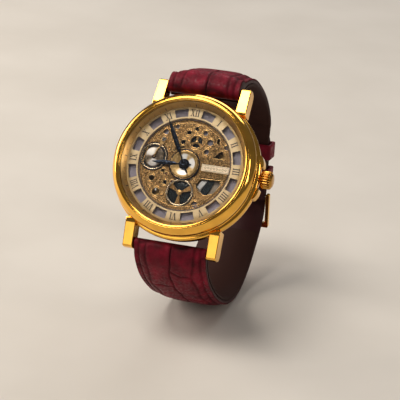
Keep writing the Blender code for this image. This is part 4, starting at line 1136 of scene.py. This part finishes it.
def build_buckle():
    v = (BUCKLE_FRONT - BUCKLE_HINGE).normalized()
    reach = (BUCKLE_FRONT - BUCKLE_HINGE).length
    across = seated(v, Vector((-v.y, v.x)), BUCKLE_HINGE)
    outline = [(-10.6, -1.0), (-10.6, reach + 0.8), (10.6, reach + 0.8), (10.6, -1.0),
               (9.45, -1.0), (9.45, reach - 0.75), (-9.45, reach - 0.75), (-9.45, -1.0)]
    bow = prism(fillet(outline, 0.55), [], -0.7, 0.7)
    bow.transform(across)
    add("buckle_bow", bow, gold, body="buckle_frame", stands_for=["buckle_frame"],
        bevel=0.4)
    sides = [(-0.85, 0.0), (-0.6, 0.6), (0.0, 0.85), (1.5, 0.62), (reach * 0.7, 0.75),
             (reach, 1.45), (reach + 0.75, 1.5), (reach + 0.8, 1.2), (reach + 0.2, 0.85),
             (reach * 0.72, 0.1), (1.5, -0.5), (0.0, -0.85), (-0.6, -0.6)]
    tongue = prism(fillet(sides, 0.3), [circle(0.5, 20)], -0.5, 0.5)
    on_edge = Matrix(((0, 0, 1, 0), (1, 0, 0, 0), (0, 1, 0, 0), (0, 0, 0, 1)))
    tongue.transform(across @ on_edge)
    add("buckle_pin", tongue, gold, body="buckle_tongue",
        stands_for=["buckle_tongue"], bevel=0.2)


# ---------- carried-over nodes ----------

def dress(material, *nodes):
    for node in nodes:
        mesh = NODES[node].data
        mesh.materials.clear()
        mesh.materials.append(material)


def build_inner_finishes():
    brass, bright = (0.66, 0.44, 0.15), (0.58, 0.58, 0.60)
    dress(engraved("engraved_main_plate", (0.42, 0.27, 0.10), (0.05, 0.03, 0.012), 0.36, 0.8, 0.04),
          "main_plate")
    dress(striped("striped_bridge", (0.66, 0.50, 0.26), 0.26, 0.314 / 1.6), "barrel_bridge")
    dress(matt("grey_holder", (0.185, 0.16, 0.195), 0.5, 0.35, 0.02), "movement_holder")
    for node, centre, colour in (
            ("barrel", BARREL, brass), ("barrel_cover", BARREL, brass),
            ("centre_wheel", (0, 0), brass), ("third_wheel", THIRD, brass),
            ("minute_wheel", MINUTE, brass), ("hour_wheel", (0, 0), brass),
            ("fourth_wheel", FOURTH, (0.20, 0.16, 0.13)),
            ("escape_wheel", ESCAPE, (0.55, 0.55, 0.57)),
            ("crown_wheel", CROWN_WHEEL, bright), ("ratchet_wheel", BARREL, bright)):
        dress(turned("grained_" + node, colour, 0.26, (*centre, 0)), node)
    dress(polished("polished_steel", (0.56, 0.56, 0.58), 0.16),
          "winding_stem", "winding_pinion", "sliding_pinion", "ratchet_screw", "crown_wheel_screw",
          "click", "click_spring", "barrel_arbor", "mainspring", "pallet_fork", "cannon_pinion",
          "cock_screw", "bridge_screw_1", "bridge_screw_2", "bridge_screw_3", "spring_bar_upper",
          "spring_bar_lower", "buckle_bar")
    dress(polished("gilt_pallet_cock", brass, 0.24), "pallet_cock")
    dress(polished("blued_hairspring", (0.03, 0.05, 0.16), 0.2), "hairspring")
    dress(matt("stem_seal", (0.015, 0.015, 0.016), 0.6, 5.0), "crown_gasket")


def build_screw_slots():
    """The slots in the movement's screws: centre, head radius, head height and direction."""
    slots = []
    for centre, radius, height, angle in (
            ((10.9, 5.8), 0.72, 2.245, 20), ((-6.6, 10.6), 0.72, 2.245, 75),
            ((-12.2, 0.9), 0.72, 2.245, 130), (CROWN_WHEEL, 1.25, 1.795, 50),
            ((-7.7, 6.6), 0.6, 7.585, 35), (BARREL, 1.5, 1.745, 110)):
        half = 0.9 * radius
        slot = prism(box(-half, -0.14, half, 0.14), [], height - 0.008, height + 0.008)
        slot.transform(Matrix.Translation((*centre, 0))
                       @ Matrix.Rotation(math.radians(angle), 4, "Z"))
        slots.append(slot)
    add("screw_slots", merge(slots[:-1]), black)
    add("ratchet_screw_slot", slots[-1], black, body="ratchet")


# ---------- room and camera ----------

CAMERA_AZIMUTH = 17.5  # degrees to the watch's right
CAMERA_ELEVATION = 21.7
CAMERA_ROLL = 2.1
CAMERA_DISTANCE = 0.4585
CAMERA_AIM = Vector((0.0037, -0.0020, -0.0075))
CAMERA_LENS = 141.3


def build_camera():
    azimuth, elevation = math.radians(CAMERA_AZIMUTH), math.radians(CAMERA_ELEVATION)
    forward = Vector((-math.sin(azimuth) * math.cos(elevation),
                      math.cos(azimuth) * math.cos(elevation),
                      -math.sin(elevation)))
    level = forward.cross(Vector((0, 0, 1))).normalized()
    rise = level.cross(forward)
    roll = math.radians(CAMERA_ROLL)
    right = level * math.cos(roll) + rise * math.sin(roll)
    up = rise * math.cos(roll) - level * math.sin(roll)
    data = bpy.data.cameras.new("camera")
    data.lens = CAMERA_LENS
    data.sensor_width = 36
    data.clip_start = 0.01
    camera = bpy.data.objects.new("camera", data)
    bpy.context.collection.objects.link(camera)
    at = CAMERA_AIM - forward * CAMERA_DISTANCE
    camera.matrix_world = Matrix(((right.x, up.x, -forward.x, at.x),
                                  (right.y, up.y, -forward.y, at.y),
                                  (right.z, up.z, -forward.z, at.z),
                                  (0, 0, 0, 1)))
    bpy.context.scene.camera = camera


LAMPS = [  # name, place, size, power, colour
    ("overhead", (-0.24, -0.20, 0.80), (0.46, 0.34), 4.5, (1.0, 0.95, 0.88)),
    ("front", (-0.30, -0.82, 0.27), (0.40, 0.24), 0.42, (1.0, 0.92, 0.82)),
    ("left", (-0.68, 0.06, 0.27), (0.46, 0.44), 5.2, (1.0, 0.93, 0.84)),
    ("side", (0.72, -0.18, 0.34), (0.12, 0.40), 1.2, (1.0, 0.93, 0.85)),
    ("back", (0.05, 0.62, 0.50), (0.60, 0.20), 1.4, (1, 1, 1)),
]
FLOOR_SIZE = 3.0
FLOOR_GAP = 0.0004


def build_lamps():
    for name, place, size, power, colour in LAMPS:
        data = bpy.data.lights.new(name, "AREA")
        data.shape = "RECTANGLE"
        data.size, data.size_y = size
        data.energy = power
        data.color = colour
        lamp = link_up(name, data)
        lamp.location = place
        lamp.rotation_euler = (-Vector(place)).to_track_quat("-Z", "Y").to_euler()


def build_room():
    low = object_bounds()[0][2]
    bm = bmesh.new()
    bmesh.ops.create_grid(bm, x_segments=1, y_segments=1, size=FLOOR_SIZE)
    mesh = bpy.data.meshes.new("floor")
    bm.to_mesh(mesh)
    bm.free()
    look = Look("pale_floor", (0.60, 0.56, 0.51), 0.0, 0.7)
    look.colours(look.noise(look.place(), 0.02, 3.0),
                 [(0.3, (0.58, 0.54, 0.49)), (0.7, (0.63, 0.59, 0.54))])
    mesh.materials.append(look.material)
    floor = link_up("floor", mesh)
    floor.location.z = low - FLOOR_GAP
    world = bpy.data.worlds.new("studio")
    world.use_nodes = True
    sky = world.node_tree.nodes["Background"].inputs
    sky["Color"].default_value = (0.52, 0.49, 0.46, 1)
    sky["Strength"].default_value = 0.24
    bpy.context.scene.world = world
    bpy.context.scene.view_settings.view_transform = "Standard"


build_bezel()
build_case()
build_crystals()
build_rehaut()
build_dial()
build_front_bridge()
build_bridge_trim()
build_sub_dials()
build_jewels()
build_balance()
build_hands()
build_crown()
build_straps()
build_keepers()
build_buckle()
build_inner_finishes()
build_screw_slots()
build_room()
build_lamps()
build_camera()

bpy.context.view_layer.update()
